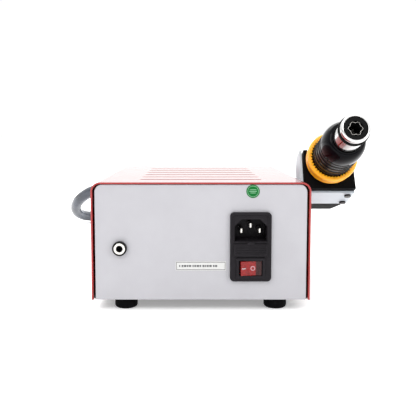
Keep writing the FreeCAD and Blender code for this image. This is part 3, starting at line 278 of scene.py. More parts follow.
def points(*pairs):
    """Pairs of (radius, height) in millimetres, as metres."""
    return [(radius * MM, height * MM) for radius, height in pairs]


def block(name, low, high, width, matrix=None):
    """A block between two corners, with softened edges."""
    low, high = Vector(low), Vector(high)
    matrix = matrix or Matrix.Identity(4)
    verts = [
        matrix @ Vector((x, y, z))
        for x in (low.x, high.x)
        for y in (low.y, high.y)
        for z in (low.z, high.z)
    ]
    faces = [(0, 1, 3, 2), (4, 6, 7, 5), (0, 4, 5, 1), (2, 3, 7, 6), (0, 2, 6, 4), (1, 5, 7, 3)]
    obj = face_outward(mesh_object(name, verts, faces))
    soften(obj, width)
    shade(obj, 40)
    return obj


def turned_to(origin, axis):
    """A frame whose Z runs along axis, and whose X keeps as near as it can to the model's X."""
    z = Vector(axis).normalized()
    x = Vector((1, 0, 0))
    x = (x - z * x.dot(z)).normalized()
    y = z.cross(x)
    matrix = Matrix((x, y, z)).transposed().to_4x4()
    matrix.translation = Vector(origin)
    return matrix


# ---------------------------------------------------------------- materials

NOISE_RANGE = (0.3, 0.7)
ACRYLIC_IOR = 1.49
GLASS_IOR = 1.5
MASK_GREEN = (0.012, 0.13, 0.045)
TRACK_GREEN = (0.06, 0.26, 0.09)


def tinted(colour, share):
    return [min(1.0, channel * share) for channel in colour]


class Shader:
    """A principled material with small helpers for procedural detail."""

    def __init__(self, name, colour, roughness, metallic=0.0, **sockets):
        self.material = bpy.data.materials.new(name)
        self.material.use_nodes = True
        self.tree = self.material.node_tree
        self.surface = self.tree.nodes["Principled BSDF"]
        self.colour = colour
        self.surface.inputs["Base Color"].default_value = (*colour, 1)
        self.surface.inputs["Roughness"].default_value = roughness
        self.surface.inputs["Metallic"].default_value = metallic
        for socket, value in sockets.items():
            self.surface.inputs[socket.replace("_", " ")].default_value = value
        self.place = self.tree.nodes.new("ShaderNodeTexCoord").outputs["Object"]
        self.height = None

    def node(self, kind, **inputs):
        """A new node, with each input linked or set."""
        made = self.tree.nodes.new(kind)
        for name, value in inputs.items():
            socket = made.inputs[name.replace("_", " ")]
            if hasattr(value, "is_linked"):
                self.tree.links.new(value, socket)
            else:
                socket.default_value = value
        return made

    def stretched(self, scale):
        mapping = self.node("ShaderNodeMapping", Vector=self.place)
        mapping.inputs["Scale"].default_value = scale
        return mapping.outputs["Vector"]

    def noise(self, scale, detail=3.0, roughness=0.55, place=None):
        made = self.node(
            "ShaderNodeTexNoise", Vector=place or self.place, Scale=scale, Detail=detail, Roughness=roughness
        )
        return made.outputs["Fac"]

    def ramp(self, value, start, end, low=0.0, high=1.0):
        """Maps start to end onto low to high."""
        made = self.node(
            "ShaderNodeMapRange", Value=value, From_Min=start, From_Max=end, To_Min=low, To_Max=high
        )
        return made.outputs["Result"]

    def spread(self, pattern, low, high):
        """Maps the range that a noise mostly fills onto low to high."""
        return self.ramp(pattern, *NOISE_RANGE, low, high)

    def mix(self, factor, first, second):
        made = self.tree.nodes.new("ShaderNodeMix")
        made.data_type = "RGBA"
        self.tree.links.new(factor, made.inputs["Factor"])
        for socket, value in ((made.inputs[6], first), (made.inputs[7], second)):
            if hasattr(value, "is_linked"):
                self.tree.links.new(value, socket)
            else:
                socket.default_value = (*value, 1)
        return made.outputs[2]

    def vary_colour(self, pattern, dark, light):
        """Shades the base colour by a pattern, from dark times to light times the colour."""
        shades = [tinted(self.colour, share) for share in (dark, light)]
        factor = self.spread(pattern, 0.0, 1.0)
        self.tree.links.new(self.mix(factor, *shades), self.surface.inputs["Base Color"])
        return self

    def vary_roughness(self, pattern, low, high):
        self.tree.links.new(self.spread(pattern, low, high), self.surface.inputs["Roughness"])
        return self

    def bump(self, pattern, distance):
        made = self.node("ShaderNodeBump", Height=pattern, Distance=distance, Strength=1.0)
        if self.height is not None:
            self.tree.links.new(self.height, made.inputs["Normal"])
        self.height = made.outputs["Normal"]
        self.tree.links.new(self.height, self.surface.inputs["Normal"])
        return self


def painted(name, colour, roughness, peel, grain, coat=0.0, shine=0.5):
    """Powder or stoved paint with faint mottling and handling marks. The peel is its skin's depth in mm."""
    shader = Shader(name, colour, roughness, Coat_Weight=coat, Coat_Roughness=0.11, Specular_IOR_Level=shine)
    shader.vary_colour(shader.noise(35.0, 5.0), 0.96, 1.03)
    shader.vary_roughness(shader.noise(60.0, 6.0, 0.7), roughness * 0.85, roughness * 1.25)
    shader.bump(shader.noise(grain, 2.0), peel * MM)
    return shader.material


def moulded(name, colour, roughness, texture, grain=2600.0, shine=0.5):
    """Injection-moulded plastic with a fine spark-eroded texture, its depth in mm."""
    shader = Shader(name, colour, roughness, Specular_IOR_Level=shine)
    shader.vary_colour(shader.noise(120.0, 4.0), 0.86, 1.16)
    shader.vary_roughness(shader.noise(90.0, 6.0, 0.7), roughness * 0.8, min(1.0, roughness * 1.3))
    shader.bump(shader.noise(grain, 3.0), texture * MM)
    return shader.material


def rubbery(name, colour, roughness=0.62):
    """Dull rubber, dusty in patches."""
    shader = Shader(name, colour, roughness, Specular_IOR_Level=0.05)
    shader.vary_colour(shader.noise(160.0, 6.0), 0.7, 1.5)
    shader.vary_roughness(shader.noise(220.0, 4.0), roughness * 0.85, roughness * 1.2)
    shader.bump(shader.noise(1800.0, 4.0), 0.05 * MM)
    return shader.material


def metal(name, colour, roughness, lay=(1, 1, 1), grain=700.0, scratch=0.012):
    """Bright or brushed metal. The lay stretches its grain along one way, and the scratch depth is in mm."""
    shader = Shader(name, colour, roughness, 1.0)
    brushed = shader.noise(grain, 5.0, 0.65, shader.stretched(lay))
    shader.vary_roughness(brushed, roughness * 0.7, roughness * 1.5)
    shader.vary_colour(shader.noise(80.0, 4.0), 0.94, 1.03)
    shader.bump(brushed, scratch * MM)
    return shader.material


def hose_vinyl():
    """Glossy blue-grey tubing with flow lines, a dusty bloom and faint ripples."""
    shader = Shader(
        "hose_vinyl", (0.026, 0.031, 0.043), 0.2,
        Coat_Weight=0.12, Coat_Roughness=0.07, Specular_IOR_Level=0.4,
    )
    shader.vary_colour(shader.noise(34.0, 5.0), 0.45, 2.0)
    shader.vary_roughness(shader.noise(140.0, 6.0, 0.7), 0.1, 0.3)
    shader.bump(shader.noise(95.0, 2.0), 0.25 * MM)
    shader.bump(shader.noise(1400.0, 3.0), 0.012 * MM)
    return shader.material


def amber_plastic():
    """Bright amber plastic that lets a little light through."""
    shader = Shader("amber_collar", (0.95, 0.42, 0.012), 0.34, Subsurface_Weight=0.15, Coat_Weight=0.25)
    shader.surface.inputs["Subsurface Radius"].default_value = (0.004, 0.002, 0.0005)
    shader.surface.inputs["Subsurface Scale"].default_value = 0.4
    shader.vary_colour(shader.noise(140.0, 4.0), 0.88, 1.08)
    shader.vary_roughness(shader.noise(200.0, 5.0), 0.26, 0.46)
    shader.bump(shader.noise(1500.0, 3.0), 0.03 * MM)
    return shader.material


LENS_RED = (0.21, 0.009, 0.009)
# Width of the painted shade at the rocker's low X end, and how softly it blends into the lit red.
LENS_PAINTED_SHADE_WIDTH = 4.4 * MM
LENS_PAINTED_SHADE_BLEND = 0.5 * MM


def red_lens():
    """The rocker's translucent red moulding, with painted shade: a near-black strip along its low X end."""
    shader = Shader(
        "red_lens", LENS_RED, 0.24, Transmission_Weight=0.15, IOR=ACRYLIC_IOR, Specular_IOR_Level=0.25
    )
    across = shader.node("ShaderNodeSeparateXYZ", Vector=shader.place).outputs["X"]
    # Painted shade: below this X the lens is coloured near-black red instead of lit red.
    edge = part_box("power_rocker")[0].x + LENS_PAINTED_SHADE_WIDTH
    lit = shader.ramp(across, edge - LENS_PAINTED_SHADE_BLEND, edge + LENS_PAINTED_SHADE_BLEND)
    mottle = shader.spread(shader.noise(420.0, 4.0), 0.0, 1.0)
    mottled = shader.mix(mottle, tinted(LENS_RED, 0.7), tinted(LENS_RED, 1.35))
    tint = shader.mix(lit, tinted(LENS_RED, 0.12), mottled)
    shader.tree.links.new(tint, shader.surface.inputs["Base Color"])
    shader.vary_roughness(shader.noise(300.0, 4.0), 0.15, 0.32)
    shader.bump(shader.noise(1700.0, 2.0), 0.01 * MM)
    return shader.material


def smoked_window():
    """Dark red see-through acrylic, faintly smeared."""
    shader = Shader("smoked_window", (0.10, 0.02, 0.02), 0.05, Transmission_Weight=0.85, IOR=ACRYLIC_IOR)
    shader.vary_roughness(shader.noise(40.0, 6.0, 0.7), 0.03, 0.12)
    shader.vary_colour(shader.noise(60.0, 3.0), 0.9, 1.1)
    shader.bump(shader.noise(300.0, 2.0), 0.004 * MM)
    return shader.material


def clear_glass():
    """The fuses' glass."""
    shader = Shader("fuse_glass", (0.93, 0.95, 0.94), 0.03, Transmission_Weight=0.9, IOR=GLASS_IOR)
    shader.vary_roughness(shader.noise(200.0, 4.0), 0.02, 0.08)
    shader.vary_colour(shader.noise(200.0, 4.0), 0.96, 1.0)
    return shader.material


def circuit_board():
    """Green solder mask with copper tracks showing faintly under it."""
    shader = Shader("green_board", MASK_GREEN, 0.32, Coat_Weight=0.3)
    tracks = shader.node("ShaderNodeTexBrick", Vector=shader.place, Scale=110.0, Mortar_Size=0.09)
    tracks.offset = 0.37
    tint = shader.mix(tracks.outputs["Fac"], MASK_GREEN, TRACK_GREEN)
    shader.tree.links.new(tint, shader.surface.inputs["Base Color"])
    shader.bump(tracks.outputs["Fac"], 0.03 * MM)
    shader.vary_roughness(shader.noise(300.0, 4.0), 0.25, 0.45)
    return shader.material


def paper_label():
    """Matt printed paper."""
    shader = Shader("label_paper", (0.50, 0.50, 0.49), 0.55, Specular_IOR_Level=0.2)
    shader.vary_colour(shader.noise(500.0, 5.0), 0.965, 1.02)
    shader.vary_roughness(shader.noise(400.0, 5.0), 0.45, 0.68)
    shader.bump(shader.noise(2400.0, 4.0), 0.006 * MM)
    return shader.material


def winding_tape():
    """Yellow tape with the wire's turns showing under it."""
    shader = Shader("winding_tape", (0.72, 0.46, 0.05), 0.35)
    turns = shader.node("ShaderNodeTexWave", Vector=shader.place, Scale=330.0, Distortion=0.6, Detail=2.0)
    turns.bands_direction = "Z"
    shader.vary_colour(turns.outputs["Fac"], 0.8, 1.1)
    shader.bump(turns.outputs["Fac"], 0.1 * MM)
    shader.vary_roughness(shader.noise(200.0, 4.0), 0.25, 0.5)
    return shader.material


def floor_paint():
    """A white studio bench, lifted a little so that it stays white where the case shades it."""
    shader = Shader("studio_floor", (0.93, 0.93, 0.935), 0.85, Emission_Strength=0.3)
    shader.surface.inputs["Emission Color"].default_value = (1.0, 1.0, 1.0, 1)
    shader.vary_colour(shader.noise(3.0, 3.0), 0.99, 1.01)
    return shader.material


PRINT_DEPTH = 0.004
MATERIALS = {
    "red_cover": painted("red_cover", (0.26, 0.006, 0.005), 0.3, 0.006, 420.0, coat=1.0, shine=0.05),
    "grey_panel": painted("grey_panel", (0.352, 0.347, 0.368), 0.46, 0.03, 1500.0, coat=0.04),
    "white_bracket": painted("white_bracket", (0.44, 0.50, 0.545), 0.36, 0.02, 1100.0, coat=0.1),
    "black_cradle": painted("black_cradle", (0.004, 0.004, 0.0044), 0.42, 0.02, 1300.0, shine=0.02),
    # Near-black maroon tray: painted shade for the shaded gap between the cover and the rear panel.
    "tray_painted_shade": painted("tray_painted_shade", (0.014, 0.008, 0.009), 0.42, 0.03, 1300.0, shine=0.12),
    "black_screw": metal("black_screw", (0.045, 0.043, 0.042), 0.34),
    "zinc_screw": metal("zinc_screw", (0.70, 0.70, 0.66), 0.32),
    "steel_sheet": metal("steel_sheet", (0.60, 0.61, 0.63), 0.34, lay=(1, 14, 1)),
    "raw_aluminium": metal("raw_aluminium", (0.74, 0.75, 0.76), 0.38, lay=(1, 1, 12)),
    "core_steel": metal("core_steel", (0.27, 0.26, 0.25), 0.46, lay=(1, 30, 1), scratch=0.06),
    "brass_fitting": metal("brass_fitting", (0.80, 0.60, 0.27), 0.28),
    "nickel": metal("nickel", (0.62, 0.60, 0.56), 0.22),
    "chrome_tube": metal(
        "chrome_tube", (0.58, 0.575, 0.565), 0.12, lay=(1, 10, 10), grain=420.0, scratch=0.006
    ),
    "foot_rubber": rubbery("foot_rubber", (0.0012, 0.0012, 0.0014)),
    "hose_rubber": rubbery("hose_rubber", (0.05, 0.055, 0.06)),
    "ring_black": rubbery("ring_black", (0.006, 0.006, 0.006), 0.45),
    "charcoal_plastic": moulded("charcoal_plastic", (0.0105, 0.009, 0.011), 0.42, 0.025, shine=0.1),
    "black_plastic": moulded("black_plastic", (0.003, 0.003, 0.0035), 0.26, 0.006, shine=0.14),
    "knob_plastic": moulded("knob_plastic", (0.016, 0.016, 0.018), 0.46, 0.03),
    "handle_plastic": moulded("handle_plastic", (0.013, 0.013, 0.014), 0.5, 0.06, grain=1900.0),
    "key_plastic": moulded("key_plastic", (0.30, 0.31, 0.35), 0.48, 0.02),
    "nose_gloss": moulded("nose_gloss", (0.0015, 0.0015, 0.0022), 0.1, PRINT_DEPTH, shine=0.07),
    "mouth_black": moulded("mouth_black", (0.003, 0.003, 0.003), 0.55, 0.03, shine=0.08),
    "heater_ceramic": moulded("heater_ceramic", (0.16, 0.15, 0.13), 0.8, 0.08, grain=1500.0),
    "green_foil": moulded("green_foil", (0.0, 0.105, 0.016), 0.3, PRINT_DEPTH, shine=0.15),
    "print_ink": moulded("print_ink", (0.03, 0.03, 0.032), 0.5, PRINT_DEPTH),
    "print_grey": moulded("print_grey", (0.07, 0.07, 0.072), 0.5, PRINT_DEPTH),
    "white_mark": moulded("white_mark", (0.42, 0.36, 0.37), 0.45, PRINT_DEPTH),
    "pink_mark": moulded("pink_mark", (0.40, 0.22, 0.24), 0.45, PRINT_DEPTH),
    "pale_mark": moulded("pale_mark", (0.20, 0.42, 0.25), 0.4, PRINT_DEPTH),
    "segment_red": moulded("segment_red", (0.80, 0.06, 0.05), 0.4, PRINT_DEPTH),
    "amber_collar": amber_plastic(),
    "red_lens": red_lens(),
    "smoked_window": smoked_window(),
    "fuse_glass": clear_glass(),
    "green_board": circuit_board(),
    "label_paper": paper_label(),
    "winding_tape": winding_tape(),
    "hose_vinyl": hose_vinyl(),
}
SLOT_OF = {part["node"]: part["material_slot"] for part in record["subparts"]}


def finish_of(node):
    return MATERIALS[SLOT_OF[node]]


# ---------------------------------------------------------------- carried-over nodes

for node, obj in nodes.items():
    paint_with(obj, finish_of(node))
# Painted shade: the base tray is coloured near-black maroon so that the gap at the case's sides looks shaded
# down to its bottom.
paint_with(nodes["base_tray"], MATERIALS["tray_painted_shade"])

# How far each node's edges are rounded, in mm.
SOFT_EDGES = {
    "cover": 0.30, "rear_panel": 0.35, "front_bezel": 0.5, "cover_screws": 0.45, "cradle_screws": 0.5,
    "foot_front_left": 0.5, "foot_front_right": 0.5, "foot_rear_left": 0.5, "foot_rear_right": 0.5,
    "inlet_housing": 0.35, "inlet_pins": 0.8, "rocker_frame": 0.4, "power_rocker": 0.5, "fuse_drawer": 0.3,
    "earth_socket_collar": 0.4, "earth_socket_sleeve": 0.2, "earth_socket_nut": 0.25,
    "preset_key_1": 0.6, "preset_key_2": 0.6, "preset_key_3": 0.6, "hose_gland": 0.5,
    "holder_cradle": 0.3, "holder_bracket": 0.35, "bracket_posts": 0.4, "cradle_pads": 0.4,
    "handle_shell_left": 0.35, "handle_shell_right": 0.35, "handle_screws": 0.3, "hose_boot": 0.4,
    "display_window": 0.35,
}
shells = {node: refined(node, width * MM, finish_of(node)) for node, width in SOFT_EDGES.items()}


# ---------------------------------------------------------------- rear panel fittings

INLET_LOW, INLET_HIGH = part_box("inlet_housing")
INLET_X = (INLET_LOW.x + INLET_HIGH.x) / 2
INLET_FACE = INLET_HIGH.y
DRAWER_LOW, DRAWER_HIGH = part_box("fuse_drawer")
FRAME_LOW, FRAME_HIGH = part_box("rocker_frame")
SWITCH_Z = (FRAME_LOW.z + FRAME_HIGH.z) / 2
SUNK = 0.3 * MM


def face_centre(node):
    """The middle of a node's rear face."""
    low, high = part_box(node)
    return Vector(((low.x + high.x) / 2, high.y, (low.z + high.z) / 2))


def ring_of_blocks(name, x0, z0, x1, z1, width, y0, y1, softness):
    """A raised rectangular rim of four bars, from y0 to y1."""
    bars = [
        block(f"{name}_a", (x0, y0, z0), (x1, y1, z0 + width), softness),
        block(f"{name}_b", (x0, y0, z1 - width), (x1, y1, z1), softness),
        block(f"{name}_c", (x0, y0, z0 + width), (x0 + width, y1, z1 - width), softness),
        block(f"{name}_d", (x1 - width, y0, z0 + width), (x1, y1, z1 - width), softness),
    ]
    return join(name, bars)


def make_inlet_detail():
    """Raised mouldings of the mains inlet: a lip round the socket, and grips on the fuse drawer."""
    lip_reach, lip_drop, lip_depth = 13.4 * MM, 2.4 * MM, 20.4 * MM
    lip_top = INLET_HIGH.z - lip_drop
    lip = ring_of_blocks(
        "inlet_lip", INLET_X - lip_reach, lip_top - lip_depth, INLET_X + lip_reach, lip_top,
        0.7 * MM, INLET_FACE - SUNK, INLET_FACE + 0.55 * MM, 0.2 * MM,
    )
    add("chassis", lip, MATERIALS["charcoal_plastic"])
    grip_reach, grip_pitch, grip_width, grip_height = 11.6 * MM, 1.3 * MM, 0.6 * MM, 0.4 * MM
    grips = []
    for step in range(6):
        z = DRAWER_LOW.z + grip_pitch * (1 + step)
        grips.append(block(
            f"ridge_{step}", (INLET_X - grip_reach, DRAWER_HIGH.y - SUNK, z),
            (INLET_X + grip_reach, DRAWER_HIGH.y + grip_height, z + grip_width), 0.18 * MM,
        ))
    add("fuse_carrier", join("drawer_grips", grips), MATERIALS["charcoal_plastic"])


def make_rocker_marks():
    """A bar and a ring on the rocker's face, following its slope."""
    face_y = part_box("power_rocker")[1].y
    graph = bpy.context.evaluated_depsgraph_get()
    graph.update()
    face = shells["power_rocker"].evaluated_get(graph)

    def surface(x):
        """A frame on the rocker's face at x, with Z standing off it."""
        start = Vector((x, face_y + 20 * MM, SWITCH_Z))
        hit, place, normal, _ = face.ray_cast(start, Vector((0, -1, 0)))
        return turned_to(place, normal) if hit else turned_to((x, face_y, SWITCH_Z), (0, 1, 0))

    low, high = (-1.5 * MM, -0.32 * MM, -0.1 * MM), (1.5 * MM, 0.32 * MM, 0.12 * MM)
    bar = block("rocker_bar", low, high, 0.05 * MM, surface(INLET_X + 5.4 * MM))
    add("rocker", bar, MATERIALS["white_mark"])
    outline = points((1.15, -0.1), (1.75, -0.1), (1.75, 0.12), (1.15, 0.12))
    ring = lathe("rocker_ring", outline, surface(INLET_X - 1.5 * MM), 40, 0.04 * MM)
    add("rocker", ring, MATERIALS["pink_mark"])


def make_label_print():
    """A printed border and a row of plain dashes on the rating label."""
    low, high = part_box("rating_label")
    top_y = high.y + 0.02 * MM
    under_y = high.y - 0.01 * MM
    softness = 0.004 * MM
    inset = 0.5 * MM
    border = ring_of_blocks(
        "label_border", low.x + inset, low.z + inset, high.x - inset, high.z - inset,
        0.34 * MM, under_y, top_y, softness,
    )
    add("chassis", border, MATERIALS["print_ink"])
    marks = []
    middle_z = (low.z + high.z) / 2
    half_tall = 0.75 * MM
    gap, wide_gap = 0.45, 1.0
    x = high.x - 2.6 * MM
    for step in range(15):
        width = (0.9 + 0.9 * ((step * 7) % 5) / 4) * MM
        left, right = (x - width, under_y, middle_z - half_tall), (x, top_y, middle_z + half_tall)
        marks.append(block(f"mark_{step}", left, right, softness))
        x -= width + (gap if step % 4 else wide_gap) * MM
    add("chassis", join("label_marks", marks), MATERIALS["print_grey"])


def make_sticker_print():
    """A plain ring and three strokes on the green sticker."""
    centre = face_centre("inspection_sticker")
    outline = points((3.9, -0.02), (4.15, -0.02), (4.15, 0.03), (3.9, 0.03))
    pieces = [lathe("sticker_ring", outline, turned_to(centre, (0, 1, 0)), 64, 0.005 * MM)]
    for step, (reach, rise) in enumerate(((2.4, 1.2), (2.9, 0.0), (2.0, -1.2))):
        pieces.append(block(
            f"tick_{step}", centre + Vector((-reach * MM, -0.02 * MM, (rise - 0.2) * MM)),
            centre + Vector((reach * MM, 0.03 * MM, (rise + 0.2) * MM)), 0.005 * MM,
        ))
    add("chassis", join("sticker_print", pieces), MATERIALS["pale_mark"])


def make_earth_lip_and_bore_shade():
    """A dark liner with a lip round the earth socket's mouth, and the blind end of its bore; the liner's
    wall down the bore and the black blind end are painted shade for the deep hole.
    """
    place = turned_to(face_centre("earth_socket_sleeve"), (0, 1, 0))
    # Painted shade: the thin black wall down the bore and the black disc at its blind end darken the hole;
    # the lip round the mouth is the socket's dark plastic.
    outline = points(
        (1.95, -9.0), (2.02, -9.0), (2.02, -0.2), (2.6, -0.2), (2.6, 0.12), (2.2, 0.12), (1.95, -0.3)
    )
    add("chassis", lathe("earth_lip_and_bore_shade", outline, place, 72, 0.06 * MM, 40), MATERIALS["black_plastic"])
    outline = points((0.02, -9.6), (2.02, -9.6), (2.02, -9.1), (0.02, -9.1))
    add("chassis", lathe("earth_bore_painted_shade", outline, place, 48, 0.05 * MM, 40), MATERIALS["black_plastic"])


make_earth_lip_and_bore_shade()
make_inlet_detail()
make_rocker_marks()
make_label_print()
make_sticker_print()


# ---------------------------------------------------------------- handpiece

# The handpiece's frame starts at the collar, and its Z runs along the barrel to the nozzle.
AXIS_PITCH = math.radians(18.6)
AXIS = Vector((0, math.cos(AXIS_PITCH), math.sin(AXIS_PITCH)))
COLLAR = Vector((-0.113, 0.0258, 0.1118))
HAND = turned_to(COLLAR, AXIS)
TEETH = 44
TEETH_TURNS = 12 * TEETH
LOBES = 6
LOBE_DEPTH = 0.5 * MM
SLEEVE_RADIUS = 17.25
DOME_START = 44.4
DOME_STEPS = 12
DOME_FALL = 5.05
DOME_LENGTH = 13.9


def make_collar_ring():
    """The amber collar, with rounded teeth that point inward from its front edge."""

    def scallop(radius, height, angle):
        if radius < 19.2 * MM and height > 2.0 * MM:
            return -1.4 * MM * abs(math.sin(TEETH * angle / 2)) ** 0.7
        return 0.0

    outline = points(
        (16.9, -6.5), (19.4, -6.5), (20.3, -5.3), (20.5, -3.4), (21.0, -2.6), (20.5, -1.6), (20.8, 0.2),
        (21.5, 7.1), (21.1, 8.1), (20.3, 8.5), (19.0, 8.5), (18.7, 8.2), (18.7, 1.0), (16.9, 1.0),
    )
    ring = lathe("collar_ring", outline, HAND, TEETH_TURNS, 0.5 * MM, 45, scallop)
    add("handpiece", ring, MATERIALS["amber_collar"], "locking_collar")


def make_sleeve():
    """Black sleeve with five thin raised rings, and a knurled skirt that meets the collar."""
    first_ring, ring_pitch, ring_top, ring_foot = 13.0, 6.7, 0.35, 0.7
    pairs = [(14.3, 1.2), (17.2, 1.2), (SLEEVE_RADIUS, 9.3), (16.85, 10.2)]
    for step in range(5):
        z = first_ring + ring_pitch * step
        pairs += [(16.75, z - ring_foot), (17.3, z - ring_top), (17.3, z + ring_top), (16.75, z + ring_foot)]
    pairs += [(17.0, 41.0), (14.3, 41.0)]

    def knurl(radius, height, angle):
        if radius > 17.15 * MM and height < 9.6 * MM:
            return -0.5 * MM * abs(math.sin(TEETH * angle / 2 + math.pi / 2)) ** 0.8
        return 0.0

    sleeve = lathe("sleeve_grip", points(*pairs), HAND, TEETH_TURNS, 0.22 * MM, 35, knurl)
    add("handpiece", sleeve, MATERIALS["black_plastic"], "ribbed_sleeve")


def make_dome():
    """The glossy black nose that closes down onto the tube."""
    pairs = [(14.3, 41.1), (17.0, 41.1), (SLEEVE_RADIUS, 42.0), (SLEEVE_RADIUS, DOME_START)]
    for step in range(1, DOME_STEPS + 1):
        t = step / DOME_STEPS * math.pi / 2
        pairs.append((12.2 + DOME_FALL * math.cos(t), DOME_START + DOME_LENGTH * math.sin(t)))
    pairs += [(11.5, 59.0), (11.1, 58.6), (11.1, 53.0), (14.3, 45.0)]
    dome = lathe("nose_dome", points(*pairs), HAND, 144, 0.3 * MM, 60)
    add("handpiece", dome, MATERIALS["nose_gloss"], "handle_shoulder")


def make_tube():
    """The chrome nozzle tube with its rounded end, and the black ring in its groove."""
    outline = points(
        (9.6, 26.0), (11.0, 26.0), (11.0, 77.05), (10.1, 77.05), (10.1, 78.95), (11.0, 78.95),
        (11.0, 82.3), (10.7, 83.7), (9.7, 84.85), (9.25, 84.95), (9.05, 84.5), (9.05, 79.4),
    )
    tube = lathe("nozzle_tube", outline, HAND, 144, 0.25 * MM, 40)
    add("handpiece", tube, MATERIALS["chrome_tube"], "heater_tube")
    groove = points((10.05, 77.1), (11.75, 77.1), (12.0, 78.0), (11.75, 78.9), (10.05, 78.9))
    ring = lathe("seal_ring", groove, HAND, 144, 0.45 * MM, 60)
    add("handpiece", ring, MATERIALS["ring_black"], "tube_ring")


def make_mouth():
    """A black insulator that fills the tube's mouth round a thin lobed sheath, with a black lining in the
    sheath as painted shade for its hollow.
    """
    outline = points((5.7, 79.6), (9.0, 79.6), (9.0, 84.2), (8.6, 84.6), (6.2, 84.6), (5.7, 84.2))
    disc = lathe("mouth_insulator", outline, HAND, 96, 0.25 * MM, 40)
    add("handpiece", disc, MATERIALS["mouth_black"])

    def lobed(radius, height, angle):
        return LOBE_DEPTH * math.cos(LOBES * angle)

    outline = points((4.75, 32.0), (5.05, 32.0), (5.05, 83.7), (4.75, 83.7))
    sheath = lathe("lobed_sheath", outline, HAND, 288, 0.1 * MM, 50, lobed)
    add("handpiece", sheath, MATERIALS["nickel"], "heater_sheath")
    # Painted shade: a thin black sleeve inside the sheath darkens its hollow.
    outline = points((4.35, 40.0), (4.7, 40.0), (4.7, 83.45), (4.35, 83.45))
    hollow_shade = lathe("sheath_painted_shade", outline, HAND, 288, 0.08 * MM, 50, lobed)
    add("handpiece", hollow_shade, MATERIALS["mouth_black"])


make_collar_ring()
make_sleeve()
make_dome()
make_tube()
make_mouth()


# ---------------------------------------------------------------- front panel

FRONT_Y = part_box("front_bezel")[0].y
WINDOW_LOW, WINDOW_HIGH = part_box("display_window")
FLUTES = 24


def flat_strip(name, a, b, width, y, depth=0.12 * MM):
    """A thin printed stroke from a to b, (x, z) each, on a plane facing the front."""
    a, b = Vector(a), Vector(b)
    run = (b - a).normalized()
    side = Vector((-run.y, run.x)) * width / 2
    corners = [a + side, b + side, b - side, a - side]
    verts = [(c.x, y - depth, c.y) for c in corners] + [(c.x, y + depth, c.y) for c in corners]
    faces = [(0, 1, 2, 3), (7, 6, 5, 4), (0, 4, 5, 1), (1, 5, 6, 2), (2, 6, 7, 3), (3, 7, 4, 0)]
    return face_outward(mesh_object(name, verts, faces, 30))


# The ends of each stroke of a digit, as (x, z) in half heights, and the strokes that make up each digit.
SEGMENTS = {
    "a": ((0, 2), (1, 2)), "b": ((1, 1), (1, 2)), "c": ((1, 0), (1, 1)), "d": ((0, 0), (1, 0)),
    "e": ((0, 0), (0, 1)), "f": ((0, 1), (0, 2)), "g": ((0, 1), (1, 1)),
}
DIGITS = {"0": "abcdef", "3": "abcdg", "5": "acdfg", "6": "acdefg"}


def make_display():
    """Two groups of unlit digits behind the smoked window."""
    centre_x = (WINDOW_LOW.x + WINDOW_HIGH.x) / 2
    centre_z = (WINDOW_LOW.z + WINDOW_HIGH.z) / 2
    face_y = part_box("led_display")[0].y - 0.1 * MM
    wide, tall, gap, pitch = 4.6 * MM, 4.6 * MM, 0.45 * MM, 8.2 * MM
    group_offset = 17.5 * MM
    strokes = []
    for group_x, text in ((group_offset, "350"), (-group_offset, "060")):
        for place, digit in enumerate(text):
            left = centre_x + group_x + (1 - place) * pitch + wide / 2
            for segment in DIGITS[digit]:
                (x0, z0), (x1, z1) = SEGMENTS[segment]
                start = Vector((left - x0 * wide, centre_z + (z0 - 1) * tall))
                end = Vector((left - x1 * wide, centre_z + (z1 - 1) * tall))
                run = (end - start).normalized() * gap
                strokes.append(flat_strip(
                    f"stroke_{len(strokes)}", start + run, end - run, 0.95 * MM, face_y
                ))
    add("chassis", join("display_digits", strokes), MATERIALS["segment_red"])


def make_knob(node, body):
    """A turned knob with a fluted skirt, a dished cap and a pale pointer."""
    low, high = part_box(node)
    centre = face_centre(node)
    place = turned_to(centre, (0, -1, 0))
    length = (high.y - low.y) / MM
    radius = (high.x - low.x) / 2 / MM
    outline = points(
        (3.1, 0.0), (radius - 0.5, 0.0), (radius, 0.5), (radius, 2.0), (radius - 1.0, 2.6),
        (radius - 1.6, length - 0.9), (radius - 2.4, length), (radius - 3.6, length - 0.15),
        (1.2, length - 0.8), (0.02, length - 0.8), (0.02, length - 2.5), (3.1, length - 2.5),
    )

    def flutes(r, height, angle):
        if 2.3 * MM < height < (length - 0.5) * MM and r > (radius - 2.2) * MM:
            return -0.4 * MM * (0.5 + 0.5 * math.cos(FLUTES * angle)) ** 2
        return 0.0

    knob = lathe(f"{node}_cap", outline, place, 12 * FLUTES, 0.3 * MM, 35, flutes)
    add(body, knob, MATERIALS["knob_plastic"], node)
    middle = Vector((centre.x, centre.z))
    start, end = (middle + Vector((0, (radius - inset) * MM)) for inset in (6.0, 2.6))
    pointer = flat_strip(f"{node}_pointer", start, end, 0.9 * MM, low.y + 0.05 * MM)
    add(body, pointer, MATERIALS["white_mark"])
    inner = radius + 1.8
    ticks = []
    for step in range(11):
        angle = math.radians(-150 + 30 * step)
        way = Vector((math.sin(angle), math.cos(angle)))
        reach = 3.2 if step % 5 == 0 else 2.2
        ticks.append(flat_strip(
            f"tick_{step}", middle + way * inner * MM, middle + way * (inner + reach) * MM,
            0.6 * MM, FRONT_Y, 0.04 * MM,
        ))
    add("chassis", join(f"{node}_scale", ticks), MATERIALS["print_ink"])


